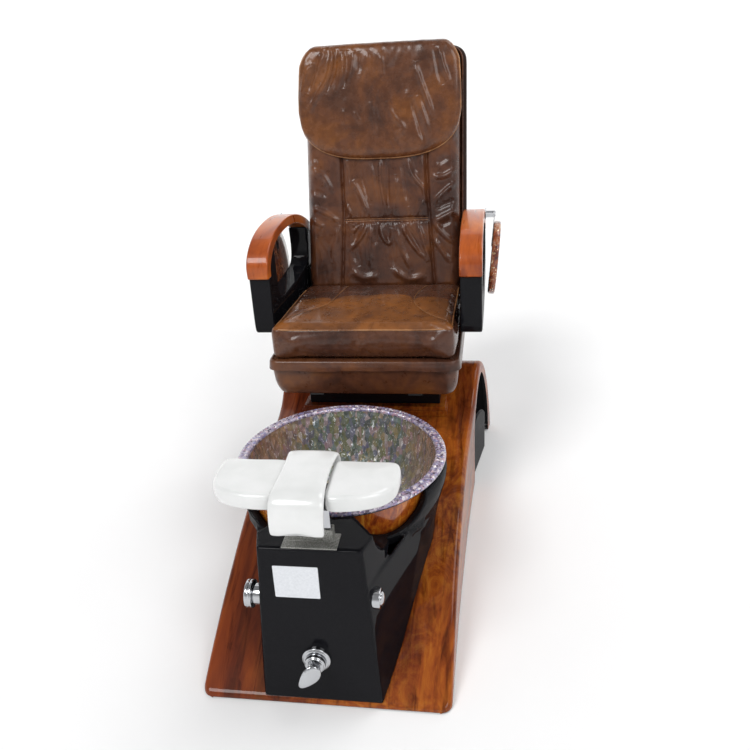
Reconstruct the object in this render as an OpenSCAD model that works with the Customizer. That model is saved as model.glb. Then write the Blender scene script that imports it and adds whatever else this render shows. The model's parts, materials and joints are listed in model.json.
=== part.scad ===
// Pedicure spa chair: reclining massage seat on a curved deck, foot bowl on a
// pedestal in front. Millimetres, +X to the sitter's left, +Y to the back, +Z up.
// The origin is on the floor, on the centre plane, 810 mm behind the deck's front edge.

/* [Base] */
// Length of the deck along the floor
base_len = 1370; // [1360:5:1400]
// Wall thickness of the moulded deck
shell_t = 10; // [8:1:11]
// Gap between the floor and the deck's lower edge
floor_gap = 4; // [3:1:6]

/* [Bowl] */
// Outside radius of the bowl's rim
bowl_r = 268; // [264:1:272]
// Height of the bowl's rim above the floor
bowl_z = 440; // [438:1:444]
// Distance of the bowl's centre behind the deck's front edge
bowl_y = 410; // [408:1:414]

/* [Footrest] */
// Width of the footrest bar
rest_w = 400; // [380:5:420]
// Height of the footrest's top
rest_z = 578; // [574:1:582]

/* [Seat] */
// Width of the seat cushion
seat_w = 516; // [500:2:520]
// Height of the cushion's front edge
seat_z = 620; // [616:1:626]
// Lean of the backrest from the vertical
back_lean = 17; // [15:1:18]
// Length of the backrest above its hinge
back_len = 866; // [850:2:870]

/* [Armrests] */
// Clear gap between the armrests
arm_gap = 566; // [564:1:570]
// Width of each armrest
arm_w = 67; // [60:1:70]
// Radius of the side tray
tray_r = 123; // [110:1:125]

/* [Hidden] */
$fn = 48;
// Front edge of the deck
y0 = -810;

// Colours
wood = [0.62, 0.25, 0.06];
capwood = [0.70, 0.27, 0.06];
hide = [0.36, 0.19, 0.10];
black = [0.05, 0.05, 0.055];
steel = [0.62, 0.63, 0.65];
chrome = [0.82, 0.83, 0.85];
vinyl = [0.93, 0.93, 0.93];
glass = [0.62, 0.45, 0.35, 0.6];

module box(x0, x1, ya, yb, z0, z1) translate([x0, ya, z0]) cube([x1 - x0, yb - ya, z1 - z0]);
module rodx(x0, x1, y, z, r) translate([x0, y, z]) rotate([0, 90, 0]) cylinder(r = r, h = x1 - x0);
module rody(x, ya, yb, z, r) translate([x, ya, z]) rotate([-90, 0, 0]) cylinder(r = r, h = yb - ya);
module rodz(x, y, z0, z1, r) translate([x, y, z0]) cylinder(r = r, h = z1 - z0);
module both() { children(); mirror([1, 0, 0]) children(); }
// Extrudes a y,z outline across x
module across(x0, x1) translate([x0, 0, 0]) rotate([90, 0, 90]) linear_extrude(x1 - x0) children();
module rrect(x0, x1, ya, yb, r) for (i = [0]) {
  translate([x0 + r, ya]) square([x1 - x0 - 2 * r, yb - ya]);
  translate([x0, ya + r]) square([x1 - x0, yb - ya - 2 * r]);
  for (x = [x0 + r, x1 - r]) for (y = [ya + r, yb - r]) translate([x, y]) circle(r);
}
function shift(p) = [for (q = p) [q[0] + y0, q[1]]];

// ---------- deck ----------
// Top line of the deck in the side view: distance behind the front edge, height
k = base_len / 1370;
top_line = [[0, 12], [75, 54], [150, 91], [225, 125], [300, 154], [400, 189], [500, 216], [600, 236], [700, 250],
  [800, 260], [880, 266], [940, 273], [990, 287], [1035, 310], [1075, 336], [1110, 354], [1140, 360], [1175, 353],
  [1215, 328], [1258, 284], [1300, 218], [1338, 125], [1362, 45], [1370, floor_gap]];
// Half width of the deck in the top view
half_line = [[0, 297], [300, 299], [500, 303], [700, 309], [900, 318], [1050, 328], [1150, 338], [1250, 350], [1370, 367]];
function nrm(p, i) = let (a = p[max(i - 1, 0)], b = p[min(i + 1, len(p) - 1)], d = b - a, l = norm(d)) [-d[1] / l, d[0] / l];
function inset(p, t) = [for (i = [0:len(p) - 1]) p[i] - t * nrm(p, i)];
outer_pts = concat([for (q = top_line) [q[0] * k + y0, q[1]]], [[y0, floor_gap]]);
in_line = inset([for (q = top_line) [q[0] * k + y0, q[1]]], shell_t);
inner_pts = concat([[y0 + 24, -2]], [for (i = [1:len(in_line) - 2]) in_line[i]], [[in_line[len(in_line) - 2][0] + 2, -2]]);
module plan(d) polygon(concat([for (q = half_line) [q[1] - d, q[0] * k + y0]],
  [for (i = [len(half_line) - 1:-1:0]) [-half_line[i][1] + d, half_line[i][0] * k + y0]]));
module deck_solid() intersection() {
  across(-400, 400) polygon(outer_pts);
  translate([0, 0, -1]) linear_extrude(500) plan(0);
}
module deck_core() intersection() {
  across(-400, 400) polygon(inner_pts);
  translate([0, 0, -5]) linear_extrude(500) plan(shell_t);
}
arch = shift([[958, -5], [958, 150], [966, 205], [1000, 246], [1050, 284], [1095, 308], [1138, 318], [1170, 312],
  [1203, 288], [1240, 246], [1280, 180], [1308, 100], [1322, -5]]);
module base_shell() color(wood) difference() {
  deck_solid();
  deck_core();
  across(-450, 450) polygon(arch);
  rodz(0, y0 + bowl_y, 100, 260, 24);
  rodz(-95, y0 + bowl_y + 60, 100, 260, 24);
  rodz(95, y0 + bowl_y + 60, 100, 260, 24);
  for (x = [-110, 110]) rodz(x, y0 + 190, 60, 130, 13);
  rody(0, y0 + 1300, y0 + 1400, 78, 21);
  for (x = [-110, 110]) rody(x, y0 + 1300, y0 + 1400, 78, 13);
}
module side_pods() color(black) both() intersection() {
  across(280, 360) polygon(shift([[966, 2], [966, 130], [972, 168], [992, 194], [1030, 212], [1080, 210], [1130, 188],
    [1170, 150], [1192, 100], [1198, 50], [1198, 2]]));
  linear_extrude(300) polygon([[288, y0 + 960], [311, y0 + 960], [330, y0 + 1040], [347, y0 + 1118], [352, y0 + 1160], [350, y0 + 1205], [288, y0 + 1205]]);
}
module base_frame() color(steel) {
  difference() {
    union() {
      both() {
        box(190, 230, y0 + 330, y0 + 1310, 22, 62);
        box(190, 226, y0 + 932, y0 + 968, 62, 256);
        box(190, 226, y0 + 1210, y0 + 1246, 62, 272);
      }
      for (y = [330, 640, 932, 1210]) box(-190, 190, y0 + y, y0 + y + 36, 22, 58);
    }
    both() {
      box(193, 227, y0 + 333, y0 + 1307, 25, 59);
      box(193, 223, y0 + 935, y0 + 965, 50, 253);
      box(193, 223, y0 + 1213, y0 + 1243, 50, 269);
    }
    for (y = [330, 640, 932, 1210]) box(-194, 194, y0 + y + 3, y0 + y + 33, 25, 55);
  }
  both() box(150, 190, y0 + 936, y0 + 1240, 225, 237);
  box(20, 190, y0 + 1050, y0 + 1130, 54, 58);
}
module leveling_feet() color("dimgray") for (x = [-210, 210]) for (y = [400, 980, 1280]) {
  rodz(x, y0 + y, 0, 8, 24);
  rodz(x, y0 + y, 8, 22, 8);
}
module seat_plinth() color(wood) difference() {
  union() {
    box(-236, 236, y0 + 922, y0 + 1120, 240, 290);
    box(-230, 230, y0 + 928, y0 + 1120, 290, 302);
  }
  deck_solid();
  box(-218, 218, y0 + 942, y0 + 1140, 200, 290);
}
module mount_box() color(black) difference() {
  box(-212, 212, y0 + 950, y0 + 1262, 302, 370);
  deck_solid();
  box(-207, 207, y0 + 955, y0 + 1257, 290, 365);
}
module rail_channels() color(steel) both() difference() {
  box(130, 170, y0 + 945, y0 + 1275, 370, 390);
  box(133, 167, y0 + 940, y0 + 1280, 373, 387);
  box(142, 158, y0 + 940, y0 + 1280, 380, 400);
}
module slide_screw() color(chrome) {
  rody(0, y0 + 948, y0 + 1272, 384, 6);
}
module slide_motor() color(black) {
  difference() {
    union() {
      box(-32, 32, y0 + 1272, y0 + 1332, 350, 398);
      box(-20, 20, y0 + 1250, y0 + 1262, 370, 398);
      box(-20, 20, y0 + 950, y0 + 962, 370, 398);
    }
    rody(0, y0 + 940, y0 + 1272, 384, 6.05);
  }
}

// ---------- water ----------
by = y0 + bowl_y;
rim = bowl_z;
bowl_out = [[0, rim - 195], [150, rim - 195], [178, rim - 188], [200, rim - 172], [216, rim - 150], [228, rim - 120],
  [237, rim - 85], [244, rim - 50], [250, rim - 16]];
bowl_in = [[242, rim - 12], [238, rim - 18], [234, rim - 50], [227, rim - 85], [218, rim - 120], [206, rim - 148], [191, rim - 167],
  [172, rim - 180], [148, rim - 185], [0, rim - 185]];
module bowl() color(glass) difference() {
  translate([0, by, 0]) rotate_extrude($fn = 96) polygon(concat(bowl_out,
    [[bowl_r - 6, rim - 16], [bowl_r - 1, rim - 13], [bowl_r, rim - 8], [bowl_r - 1, rim - 3], [bowl_r - 5, rim], [244, rim], [240, rim - 4]], bowl_in));
  rodz(0, by, 200, 300, 22);
  for (x = [-95, 95]) rodz(x, by + 60, 200, 300, 12.5);
  translate([0, by - 215, rim - 90]) rotate([90, 0, 0]) cylinder(r = 13, h = 80, center = true);
}
module bowl_gasket() color(black) translate([0, by, rim - 20]) difference() {
  cylinder(r = 259, h = 4, $fn = 96);
  translate([0, 0, -1]) cylinder(r = 251, h = 6, $fn = 96);
}
// Outline of the pedestal, half widths at distances behind the deck's front edge
module ped_low(d) polygon([[-140 + d, y0 + 2 + d], [140 - d, y0 + 2 + d], [160 - d, y0 + 57], [170 - d, y0 + 119], [186 - d, y0 + 233], [214 - d, y0 + 338],
  [228 - d, y0 + 430], [-228 + d, y0 + 430], [-214 + d, y0 + 338], [-186 + d, y0 + 233], [-170 + d, y0 + 119], [-160 + d, y0 + 57]]);
module ped_mid(d) polygon([[-121 + d, y0 + 20 + d], [121 - d, y0 + 20 + d], [148 - d, y0 + 119], [178 - d, y0 + 233], [220 - d, y0 + 338],
  [236 - d, y0 + 430], [-236 + d, y0 + 430], [-220 + d, y0 + 338], [-178 + d, y0 + 233], [-148 + d, y0 + 119]]);
module ped_top(d) polygon([[-115 + d, y0 + 24 + d], [115 - d, y0 + 24 + d], [142 - d, y0 + 121], [142 - d, y0 + 190], [-142 + d, y0 + 190], [-142 + d, y0 + 121]]);
module ped_block(d) {
  hull() {
    translate([0, 0, floor_gap + 2]) linear_extrude(1) ped_low(d);
    translate([0, 0, 329]) linear_extrude(1) ped_mid(d);
  }
  hull() {
    translate([0, 0, 322]) linear_extrude(1) polygon([[-121 + d, y0 + 20 + d], [121 - d, y0 + 20 + d], [148 - d, y0 + 119], [150 - d, y0 + 190], [-150 + d, y0 + 190], [-148 + d, y0 + 119]]);
    translate([0, 0, 429 - d]) linear_extrude(1) ped_top(d);
  }
}
module pedestal_shell() color(black) difference() {
  union() {
    ped_block(0);
    translate([0, by, 0]) rotate_extrude($fn = 96) polygon([[0, 150], [222, 150], [229, 190], [238, 260], [250, 320], [261, 355], [268, 385], [269, 405], [265, rim - 20], [0, rim - 20]]);
  }
  // inside of the front column
  intersection() {
    ped_block(7);
    box(-300, 300, y0, y0 + 300, -5, 423);
  }
  // seat of the bowl
  translate([0, by, 0]) rotate_extrude($fn = 96) polygon([[0, 140], [214, 140], [220, 190], [227.5, 260], [232, 320], [239, 350], [247, 385], [252, 400], [252, 600], [0, 600]]);
  // scoops that show the bowl at the two front corners
  both() translate([0, by, 436]) rotate([0, 0, -52]) translate([90, 0, 0]) rotate([0, 90, 0]) cylinder(r = 98, h = 300);
  rodz(0, by, rim - 20, rim + 60, bowl_r + 1);
  deck_solid();
  box(-50, 50, y0 + 49, y0 + 71, 400, 450);
  rody(mx, y0 - 10, y0 + 60, mzz, 21);
  rodx(-200, 0, y0 + 50, 281, 11);
  rodx(0, 200, y0 + 52, 284, 17.5);
}
module drain_flange() color(chrome) translate([0, by, 0]) difference() {
  union() {
    translate([0, 0, rim - 185]) cylinder(r = 34, h = 4);
    translate([0, 0, rim - 308]) cylinder(r = 21.5, h = 124);
  }
  translate([0, 0, rim - 320]) cylinder(r = 18, h = 170);
}
module drain_plug() color(chrome) translate([0, by, 0]) {
  translate([0, 0, rim - 180.8]) cylinder(r = 26, h = 3);
  translate([0, 0, rim - 225]) cylinder(r = 5, h = 46);
  translate([0, 0, rim - 184]) cylinder(r = 14, h = 4);
}
module drain_pipe() color(vinyl) difference() {
  union() {
    rodz(0, by, 78, rim - 291, 19);
    rodz(0, by, rim - 320, rim - 290.5, 24);
    translate([0, by, 78]) sphere(r = 19);
    rody(0, by, y0 + base_len + 4, 78, 19);
    rody(0, y0 + base_len + 2, y0 + base_len + 42, 78, 20);
  }
  rodz(0, by, 78, rim - 280, 16);
  rodz(0, by, rim - 308, rim - 280, 21.5);
  rody(0, by, y0 + base_len + 60, 78, 16);
}
module supply_pipes() color(steel) for (s = [-1, 1]) difference() {
  union() {
    rody(s * 110, y0 + 190, y0 + base_len + 4, 78, 9.5);
    rody(s * 110, y0 + base_len + 2, y0 + base_len + 30, 78, 10.5);
    translate([s * 110, y0 + 190, 78]) sphere(r = 9.5);
    rodz(s * 110, y0 + 190, 78, 140, 9.5);
    translate([s * 110, y0 + 190, 140]) sphere(r = 9.5);
    rody(s * 110, y0 + 110, y0 + 190, 140, 9.5);
    translate([s * 110, y0 + 110, 140]) sphere(r = 9.5);
    rodx(s > 0 ? 14 : -110, s > 0 ? 110 : -24, y0 + 110, 140, 9.5);
  }
  rody(s * 110, y0 + 300, y0 + base_len + 40, 78, 6.5);
}
module fill_pipe() color(chrome) {
  rodz(mx, y0 + 98, 163, rim - 90, 10);
  translate([mx, y0 + 98, rim - 90]) sphere(r = 10);
  rody(mx, y0 + 98, y0 + 168, rim - 90, 10);
  rody(0, y0 + 168, y0 + 205, rim - 90, 12);
  rody(0, y0 + 193, y0 + 206, rim - 90, 17);
}
mx = -6;
mzz = 138.5;
module mixer_body() color("goldenrod") difference() {
  union() {
    rody(mx, y0 + 14.5, y0 + 130, mzz, 20);
    rodz(mx, y0 + 98, mzz, 162, 13);
  }
  rody(mx, y0 + 7, y0 + 42, mzz, 14.06);
  rodx(-35, 25, y0 + 110, 140, 9.5);
}
module mixer_escutcheon() color(chrome) difference() {
  union() {
    rody(mx, y0 + 2, y0 + 13, mzz, 33);
    rody(mx, y0 - 1, y0 + 2, mzz, 29);
  }
  rody(mx, y0 - 20, y0 + 20, mzz, 15);
  // flush with the sloping front of the pedestal
  across(-60, 60) polygon([[y0 + 2, 7], [y0 + 20, 330], [y0 + 80, 330], [y0 + 80, 7]]);
}
module at_mixer() translate([mx, y0 + 8, mzz]) rotate([0, 45, 0]) children();
module mixer_hub() color(chrome) at_mixer() difference() {
  union() {
    rotate([-90, 0, 0]) translate([0, 0, -22]) cylinder(r = 24, h = 12.5);
    rotate([-90, 0, 0]) translate([0, 0, -24.5]) cylinder(r = 21, h = 3);
    rotate([-90, 0, 0]) translate([0, 0, -10]) cylinder(r = 14, h = 40);
    both() { rodx(8.4, 14, -30.5, 0, 5.5); box(8.4, 14, -30.5, -22, -5.5, 5.5); }
  }
  rodx(-30, 30, -30.5, 0, 3);
}
module mixer_lever() color(chrome) at_mixer() {
  rodx(-8, 8, -30.5, 0, 5.5);
  box(-8, 8, -42, -30.5, -5, 5);
  rodx(-14, 14, -30.5, 0, 2.95);
  hull() {
    translate([0, -43, 10]) scale([1.2, 0.5, 0.9]) sphere(r = 10, $fn = 32);
    translate([0, -49, -10]) scale([1, 0.3, 0.7]) sphere(r = 20, $fn = 32);
    translate([0, -58, -33]) scale([1, 0.5, 0.9]) sphere(r = 9, $fn = 32);
  }
}
module knob_bezels() color(chrome) {
  difference() {
    rodx(-145, -130, y0 + 50, 281, 24);
    rodx(-160, -120, y0 + 50, 281, 8.06);
    hull_side(-1);
  }
  difference() {
    rodx(132, 144, y0 + 52, 284, 24);
    rodx(125, 160, y0 + 52, 284, 17);
    hull_side(1);
  }
}
module hull_side(s) intersection() { ped_block(0); box(s > 0 ? 0 : -200, s > 0 ? 200 : 0, y0, y0 + 110, 200, 330); }
module drain_knob() color(chrome) {
  rodx(-162, -145.5, y0 + 50, 281, 32);
  rodx(-145.5, -108, y0 + 50, 281, 8);
}
module jet_button() color(chrome) {
  rodx(112, 140, y0 + 52, 284, 8);
  translate([140, y0 + 52, 284]) rotate([0, 90, 0]) rotate_extrude() polygon([[0, 0], [16.5, 0], [16.5, 5], [15, 7.5], [12, 9.7], [8, 11.2], [4, 11.9], [0, 12]]);
}
module pump_housing() color(black) difference() {
  union() {
    rodx(-60, -10, y0 + 1090, 172, 62);
    rodz(-35, y0 + 1090, 230, 236, 16);
    rody(-35, y0 + 1020, y0 + 1040, 172, 16);
  }
  rodx(-54, -16, y0 + 1090, 172, 54);
  rodx(-20, 0, y0 + 1090, 172, 7.06);
  rody(-35, y0 + 1010, y0 + 1060, 172, 12.5);
  rodz(-35, y0 + 1090, 210, 240, 12.5);
}
module pump_motor() color("steelblue") difference() {
  union() {
    rodx(-10, 112, y0 + 1090, 172, 50);
    box(25, 95, y0 + 1050, y0 + 1130, 58, 135);
  }
  rodx(-20, 60, y0 + 1090, 172, 7.06);
}
module pump_impeller() color(steel) {
  rodx(-50, 56, y0 + 1090, 172, 7);
  rodx(-24, -20, y0 + 1090, 172, 44);
  for (a = [0:60:300]) translate([0, y0 + 1090, 172]) rotate([a, 0, 0]) box(-46, -22, 5, 42, -1.5, 1.5);
}
module pump_pipes() color(vinyl) {
  difference() {
    union() {
      rody(-35, y0 + 470, y0 + 1036, 172, 12.5);
      translate([-35, y0 + 470, 172]) sphere(r = 12.5);
      rodx(-95, -35, y0 + 470, 172, 12.5);
      translate([-95, y0 + 470, 172]) sphere(r = 12.5);
      rodz(-95, y0 + 470, 172, rim - 185, 12.5);
      rodz(-95, y0 + 470, rim - 185, rim - 180, 24);
    }
    rody(-35, y0 + 600, y0 + 1080, 172, 9.5);
    rodz(-95, y0 + 470, 172, rim, 9);
  }
  difference() {
    union() {
      rodz(-35, y0 + 1090, 227, 252, 12.5);
      translate([-35, y0 + 1090, 252]) sphere(r = 12.5);
      rodx(-35, 132, y0 + 1090, 252, 12.5);
      translate([132, y0 + 1090, 252]) sphere(r = 12.5);
      rodz(132, y0 + 1090, 172, 252, 12.5);
      translate([132, y0 + 1090, 172]) sphere(r = 12.5);
      rody(132, y0 + 470, y0 + 1090, 172, 12.5);
      translate([132, y0 + 470, 172]) sphere(r = 12.5);
      rodx(95, 132, y0 + 470, 172, 12.5);
      translate([95, y0 + 470, 172]) sphere(r = 12.5);
      rodz(95, y0 + 470, 172, rim - 185, 12.5);
      rodz(95, y0 + 470, rim - 185, rim - 180, 24);
    }
    rodz(95, y0 + 470, 172, rim, 9);
  }
}
module label_card() color("whitesmoke") translate([-34.5, y0 + 21, 344.5]) rotate([-2.65, 0, 0]) translate([-50.5, -1.6, -41]) cube([101, 1, 82]);

// ---------- footrest ----------
fy = y0 + 60;
fz = 522;
module footrest_bracket() color(steel) {
  difference() {
    union() {
      box(-61, 61, y0 + 25, y0 + 80, 430, 434);
      box(-50, 50, y0 + 49, y0 + 71, 362, 464);
    }
    box(-46, 46, y0 + 53, y0 + 67, 350, 480);
  }
}
module footrest_post() color(chrome) {
  difference() {
    union() {
      box(-45.6, 45.6, y0 + 53.4, y0 + 66.6, 372, 510);
      for (x = [-45.6, 25.6]) { box(x, x + 20, y0 + 53.4, y0 + 66.6, 505, fz); rodx(x, x + 20, fy, fz, 9); }
    }
    rodx(-60, 60, fy, fz, 5);
  }
}
module footrest_pin() color(steel) rodx(-48, 48, fy, fz, 5);
module footrest_hinge_plate() color(steel) difference() {
  union() {
    rodx(-24.8, 24.8, fy, fz, 8.6);
    box(-24.8, 24.8, fy - 6, fy + 6, fz, rest_z - 43);
    box(-110, 100, y0 + 24, y0 + 120, rest_z - 46, rest_z - 42);
  }
  rodx(-60, 60, fy, fz, 5.06);
  for (x = [-46.6, 24.9]) rodx(x, x + 21.7, fy, fz, 9.6);
}
bar_pts = [[-210, 148], [-204, 160], [184, 160], [190, 148], [192, 100], [186, 64], [164, 36], [124, 17], [60, 9], [0, 7], [-100, 9], [-152, 16], [-186, 34], [-206, 64], [-212, 100]];
module footrest_bar() color(vinyl) translate([0, 0, rest_z - 42]) linear_extrude(38) polygon([for (q = bar_pts) [q[0] * rest_w / 400, q[1] + y0]]);
module footrest_pad() color(vinyl) across(-64, 52) polygon([for (q = [[178, -50], [180, -20], [172, -3], [145, 3], [90, 6], [30, 4.5], [6, 0], [-10, -12], [-20, -36],
  [-24, -66], [-17, -84], [-9, -80], [-6, -50], [0, -12], [6, -4], [163, -4], [163, -50]]) [q[0] + y0, q[1] + rest_z]]);

// ---------- seat ----------
hy = y0 + 1345;
hz = 505;
module seat_frame() color(steel) {
  both() {
    box(215, 240, y0 + 805, y0 + 1300, 410, 435);
    difference() {
      union() {
        box(244, 250, y0 + 1240, y0 + 1372, 440, 522);
        box(215, 250, y0 + 1240, y0 + 1300, 435, 441);
      }
      rodx(200, 300, hy, hz, 8);
    }
    box(250, 282, y0 + 1262, y0 + 1296, 444, 476);
    difference() {
      box(276, 282, y0 + 1262, y0 + 1462, 444, 622);
      rodx(200, 300, y0 + 1440, 600, 8);
      translate([0, y0 + 1262, 490]) rotate([0, 0, 0]) box(270, 290, -5, 120, 0, 200);
    }
  }
  for (y = [805, 1010]) box(-215, 215, y0 + y, y0 + y + 25, 410, 435);
  box(-216, 216, y0 + 1275, y0 + 1300, 404, 426);
  both() for (y = [832, 1180]) box(215, 240, y0 + y, y0 + y + 25, 435, 516);
  both() box(130, 170, y0 + 805, y0 + 1275, 404, 410);
}
module rail_sliders() color(chrome) both() {
  box(134, 166, y0 + 900, y0 + 1320, 374, 379);
  box(144, 156, y0 + 900, y0 + 1320, 379, 404);
}
module slide_nut() color("goldenrod") difference() {
  union() { box(-16, 16, y0 + 1080, y0 + 1110, 374, 402); box(-12, 12, y0 + 1010, y0 + 1110, 400, 410); }
  rody(0, y0 + 1000, y0 + 1200, 384, 6.08);
}
module ring_shape(w, ya, yb, r) rrect(-w, w, ya, yb, r);
module seat_skirt() color(hide) {
  difference() {
    hull() {
      translate([0, 0, 412]) linear_extrude(1) rrect(-268, 268, y0 + 796, y0 + 1296, 34);
      translate([0, 0, 438]) linear_extrude(1) rrect(-279, 279, y0 + 788, y0 + 1300, 34);
      translate([0, 0, 525]) linear_extrude(1) rrect(-282, 282, y0 + 784, y0 + 1302, 24);
    }
    box(-243, 243, y0 + 802, y0 + 1400, 400, 441);
    box(-242, 242, y0 + 802, y0 + 1400, 440, 516);
    both() box(240, 256, y0 + 1236, y0 + 1400, 400, 530);
    both() box(240, 300, y0 + 1256, y0 + 1400, 400, 494);
    box(-240, 240, y0 + 1270, y0 + 1400, 400, 520);
  }
}
module seat_cushion() color(hide) across(-seat_w / 2, seat_w / 2) polygon(shift([[800, 526], [1286, 526], [1292, 540], [1290, 576], [1280, 584], [1180, 594],
  [1000, 608], [830, seat_z - 1], [800, seat_z - 4], [787, seat_z - 16], [784, seat_z - 45], [787, 540]]));
module control_box() color(black) { box(-190, -60, y0 + 808, y0 + 908, 441, 500); box(-186, -64, y0 + 810, y0 + 830, 435, 441); }
// The rod pushes a slotted eye on the backrest's lever
pin_a = 15;
lev = 70;
py = hy + lev * sin(pin_a);
pz = hz - lev * cos(pin_a);
module recline_actuator() color(black) {
  difference() {
    union() {
      rody(0, y0 + 1035, y0 + 1235, pz, 19);
      box(-30, 30, y0 + 1035, y0 + 1095, pz + 5, pz + 66);
    }
    rody(0, y0 + 1150, y0 + 1300, pz, 9.06);
  }
}
module recline_rod() color(chrome) difference() {
  union() {
    rody(0, y0 + 1197, py - 8, pz, 9);
    box(-9, 9, py - 18, py + 12, pz - 14, pz + 14);
  }
  box(-20, 20, py - 5.4, py + 5.4, pz - 8.6, pz + 8.6);
}
module back_hinge_pins() color(steel) both() rodx(214, 262, hy, hz, 8);

// ---------- backrest ----------
module in_back() translate([0, hy, hz]) rotate([-back_lean, 0, 0]) children();
module back_frame() color(steel) {
  in_back() difference() {
    union() {
      both() {
        box(216, 240, 12, 36, 10, back_len - 30);
        box(216, 240, -15, 30, -15, 22);
        box(12, 18, -14, 34, 0, 41);
        box(12, 18, -2, 34, 41, 60);
      }
      box(-217, 217, 13, 33, 36, 60);
      box(-217, 217, 13, 33, back_len - 60, back_len - 36);
    }
    rodx(-300, 300, 0, 0, 8.06);
  }
  both() across(12.7, 17.3) polygon([[hy - 8, hz + 20], [hy + 22, hz + 10], [py + 11, pz - 9], [py - 11, pz - 9]]);
  rodx(-17, 17, py, pz, 5);
}
module back_shell() color(black) in_back() difference() {
  union() {
    translate([0, -4, 0]) rotate([-90, 0, 0]) linear_extrude(70) rrect(-273, 273, -back_len, -24, 50);
    translate([0, 64, 0]) rotate([-90, 0, 0]) linear_extrude(24) rrect(-268, 268, -back_len + 6, -30, 46);
  }
  translate([0, -10, 0]) rotate([-90, 0, 0]) linear_extrude(88) rrect(-262, 262, -back_len + 12, -36, 40);
  box(-256, 256, -40, 50, -30, 44);
}
module back_pad() color(hide) in_back() translate([0, -64, 0]) rotate([-90, 0, 0]) linear_extrude(58) rrect(-268, 268, -back_len + 6, -44, 40);
module head_flap() color(hide) in_back() {
  translate([0, -90, 0]) rotate([-90, 0, 0]) linear_extrude(25) polygon([[-276, -back_len + 60], [-236, -back_len - 2], [236, -back_len - 2], [276, -back_len + 60], [276, -620], [262, -570], [220, -530], [140, -508], [0, -500], [-140, -508], [-220, -530], [-262, -570], [-276, -620]]);
  box(-232, 232, -66, 78, back_len + 1, back_len + 9);
}
module massage_guides() color(chrome) in_back() {
  both() rodz(105, 60, 60, back_len - 40, 6);
  rodz(0, 60, 60, back_len - 40, 7);
  both() box(90, 120, 50, 74, 36.5, 60);
  both() box(90, 120, 50, 74, back_len - 40, back_len - 20);
  box(-14, 14, 50, 74, 36.5, 60);
  box(-26, 26, 44, 76, back_len - 40, back_len - 14);
}
mz = 330;
module massage_carriage() color(black) in_back() difference() {
  union() {
    box(-126, 126, 50, 72, mz - 30, mz + 30);
    for (x = [-94, -22, 16, 88]) box(x, x + 6, 20, 50, mz - 12, mz + 12);
  }
  both() rodz(105, 60, mz - 50, mz + 50, 6.08);
  rodz(0, 60, mz - 50, mz + 50, 7.08);
  rodx(-130, 130, 30, mz, 5.06);
}
module massage_rollers() color("tan") in_back() {
  both() { rodx(14, 96, 30, mz, 5); rodx(28, 50, 30, mz, 17.5); rodx(60, 82, 30, mz, 17.5); }
}

// ---------- armrests ----------
ax = arm_gap / 2;
cap_out = [[886, 745], [884, 779], [893, 800], [912, 820], [938, 836], [970, 849], [1025, 861], [1110, 866], [1205, 861], [1304, 842], [1400, 808], [1470, 772], [1502, 748]];
cap_in = [[1488, 724], [1455, 744], [1390, 778], [1296, 812], [1202, 831], [1110, 836], [1030, 831], [984, 819], [956, 805], [932, 786], [922, 772], [918, 745]];
side_u = [[896, 580], [902, 570], [925, 562], [1000, 546], [1150, 534], [1330, 534], [1420, 540], [1478, 562], [1504, 600], [1512, 660], [1502, 722], [1488, 723.4],
  [1455, 743.4], [1399, 772.4], [1402, 700], [1390, 664], [1360, 646], [1300, 640], [1100, 640], [1040, 644], [1002, 656], [986, 680], [982, 720], [984, 818.3], [956, 804.4], [932, 785.4], [922, 771.6], [918.6, 744.6], [896, 744.6]];
module arm_panel() color(black) difference() {
  across(ax + 1.5, ax + arm_w - 1.5) polygon(shift(side_u));
  rodx(ax - 5, ax + 24, y0 + 1440, 600, 8.06);
}
module arm_cap() color(capwood) across(ax, ax + arm_w) polygon(shift(concat(cap_out, cap_in)));
module arm_panels_right() arm_panel();
module arm_cap_right() arm_cap();
module arm_panels_left() mirror([1, 0, 0]) arm_panel();
module arm_cap_left() mirror([1, 0, 0]) arm_cap();
module arm_pivots() color(steel) both() rodx(275.5, ax + 22, y0 + 1440, 600, 8);

// ---------- side trays ----------
tx = ax + arm_w + 29;
tz = 822;
ty = y0 + 1317;
module tray_hinge() color(chrome) difference() {
  union() {
    box(ax + arm_w, ax + arm_w + 4, ty - 30, ty + 30, 812, 836);
    for (y = [ty - 24, ty + 12]) { rody(tx, y, y + 12, tz, 6); box(ax + arm_w, tx, y, y + 12, tz - 6, tz + 6); }
  }
  rody(tx, ty - 40, ty + 40, tz, 3);
}
module tray() {
  color(chrome) {
    rody(tx, ty - 11.6, ty + 11.6, tz, 5.6);
    rotate_tray() box(-15, -12, -11, 11, 40, 152);
    rody(tx, ty - 24, ty + 24, tz, 2.96);
  }
  color([0.5, 0.25, 0.12]) rotate_tray() difference() {
    rotate([0, 90, 0]) translate([0, 0, -13]) cylinder(r = tray_r, h = 24, $fn = 96);
    rotate([0, 90, 0]) translate([0, 0, -5]) cylinder(r = tray_r - 14, h = 30, $fn = 96);
  }
}
module rotate_tray() translate([381, ty, 672]) rotate([0, 5.3, 0]) children();
module tray_right() tray();
module tray_left() mirror([1, 0, 0]) tray();
module tray_hinge_right() tray_hinge();
module tray_hinge_left() mirror([1, 0, 0]) tray_hinge();

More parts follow.
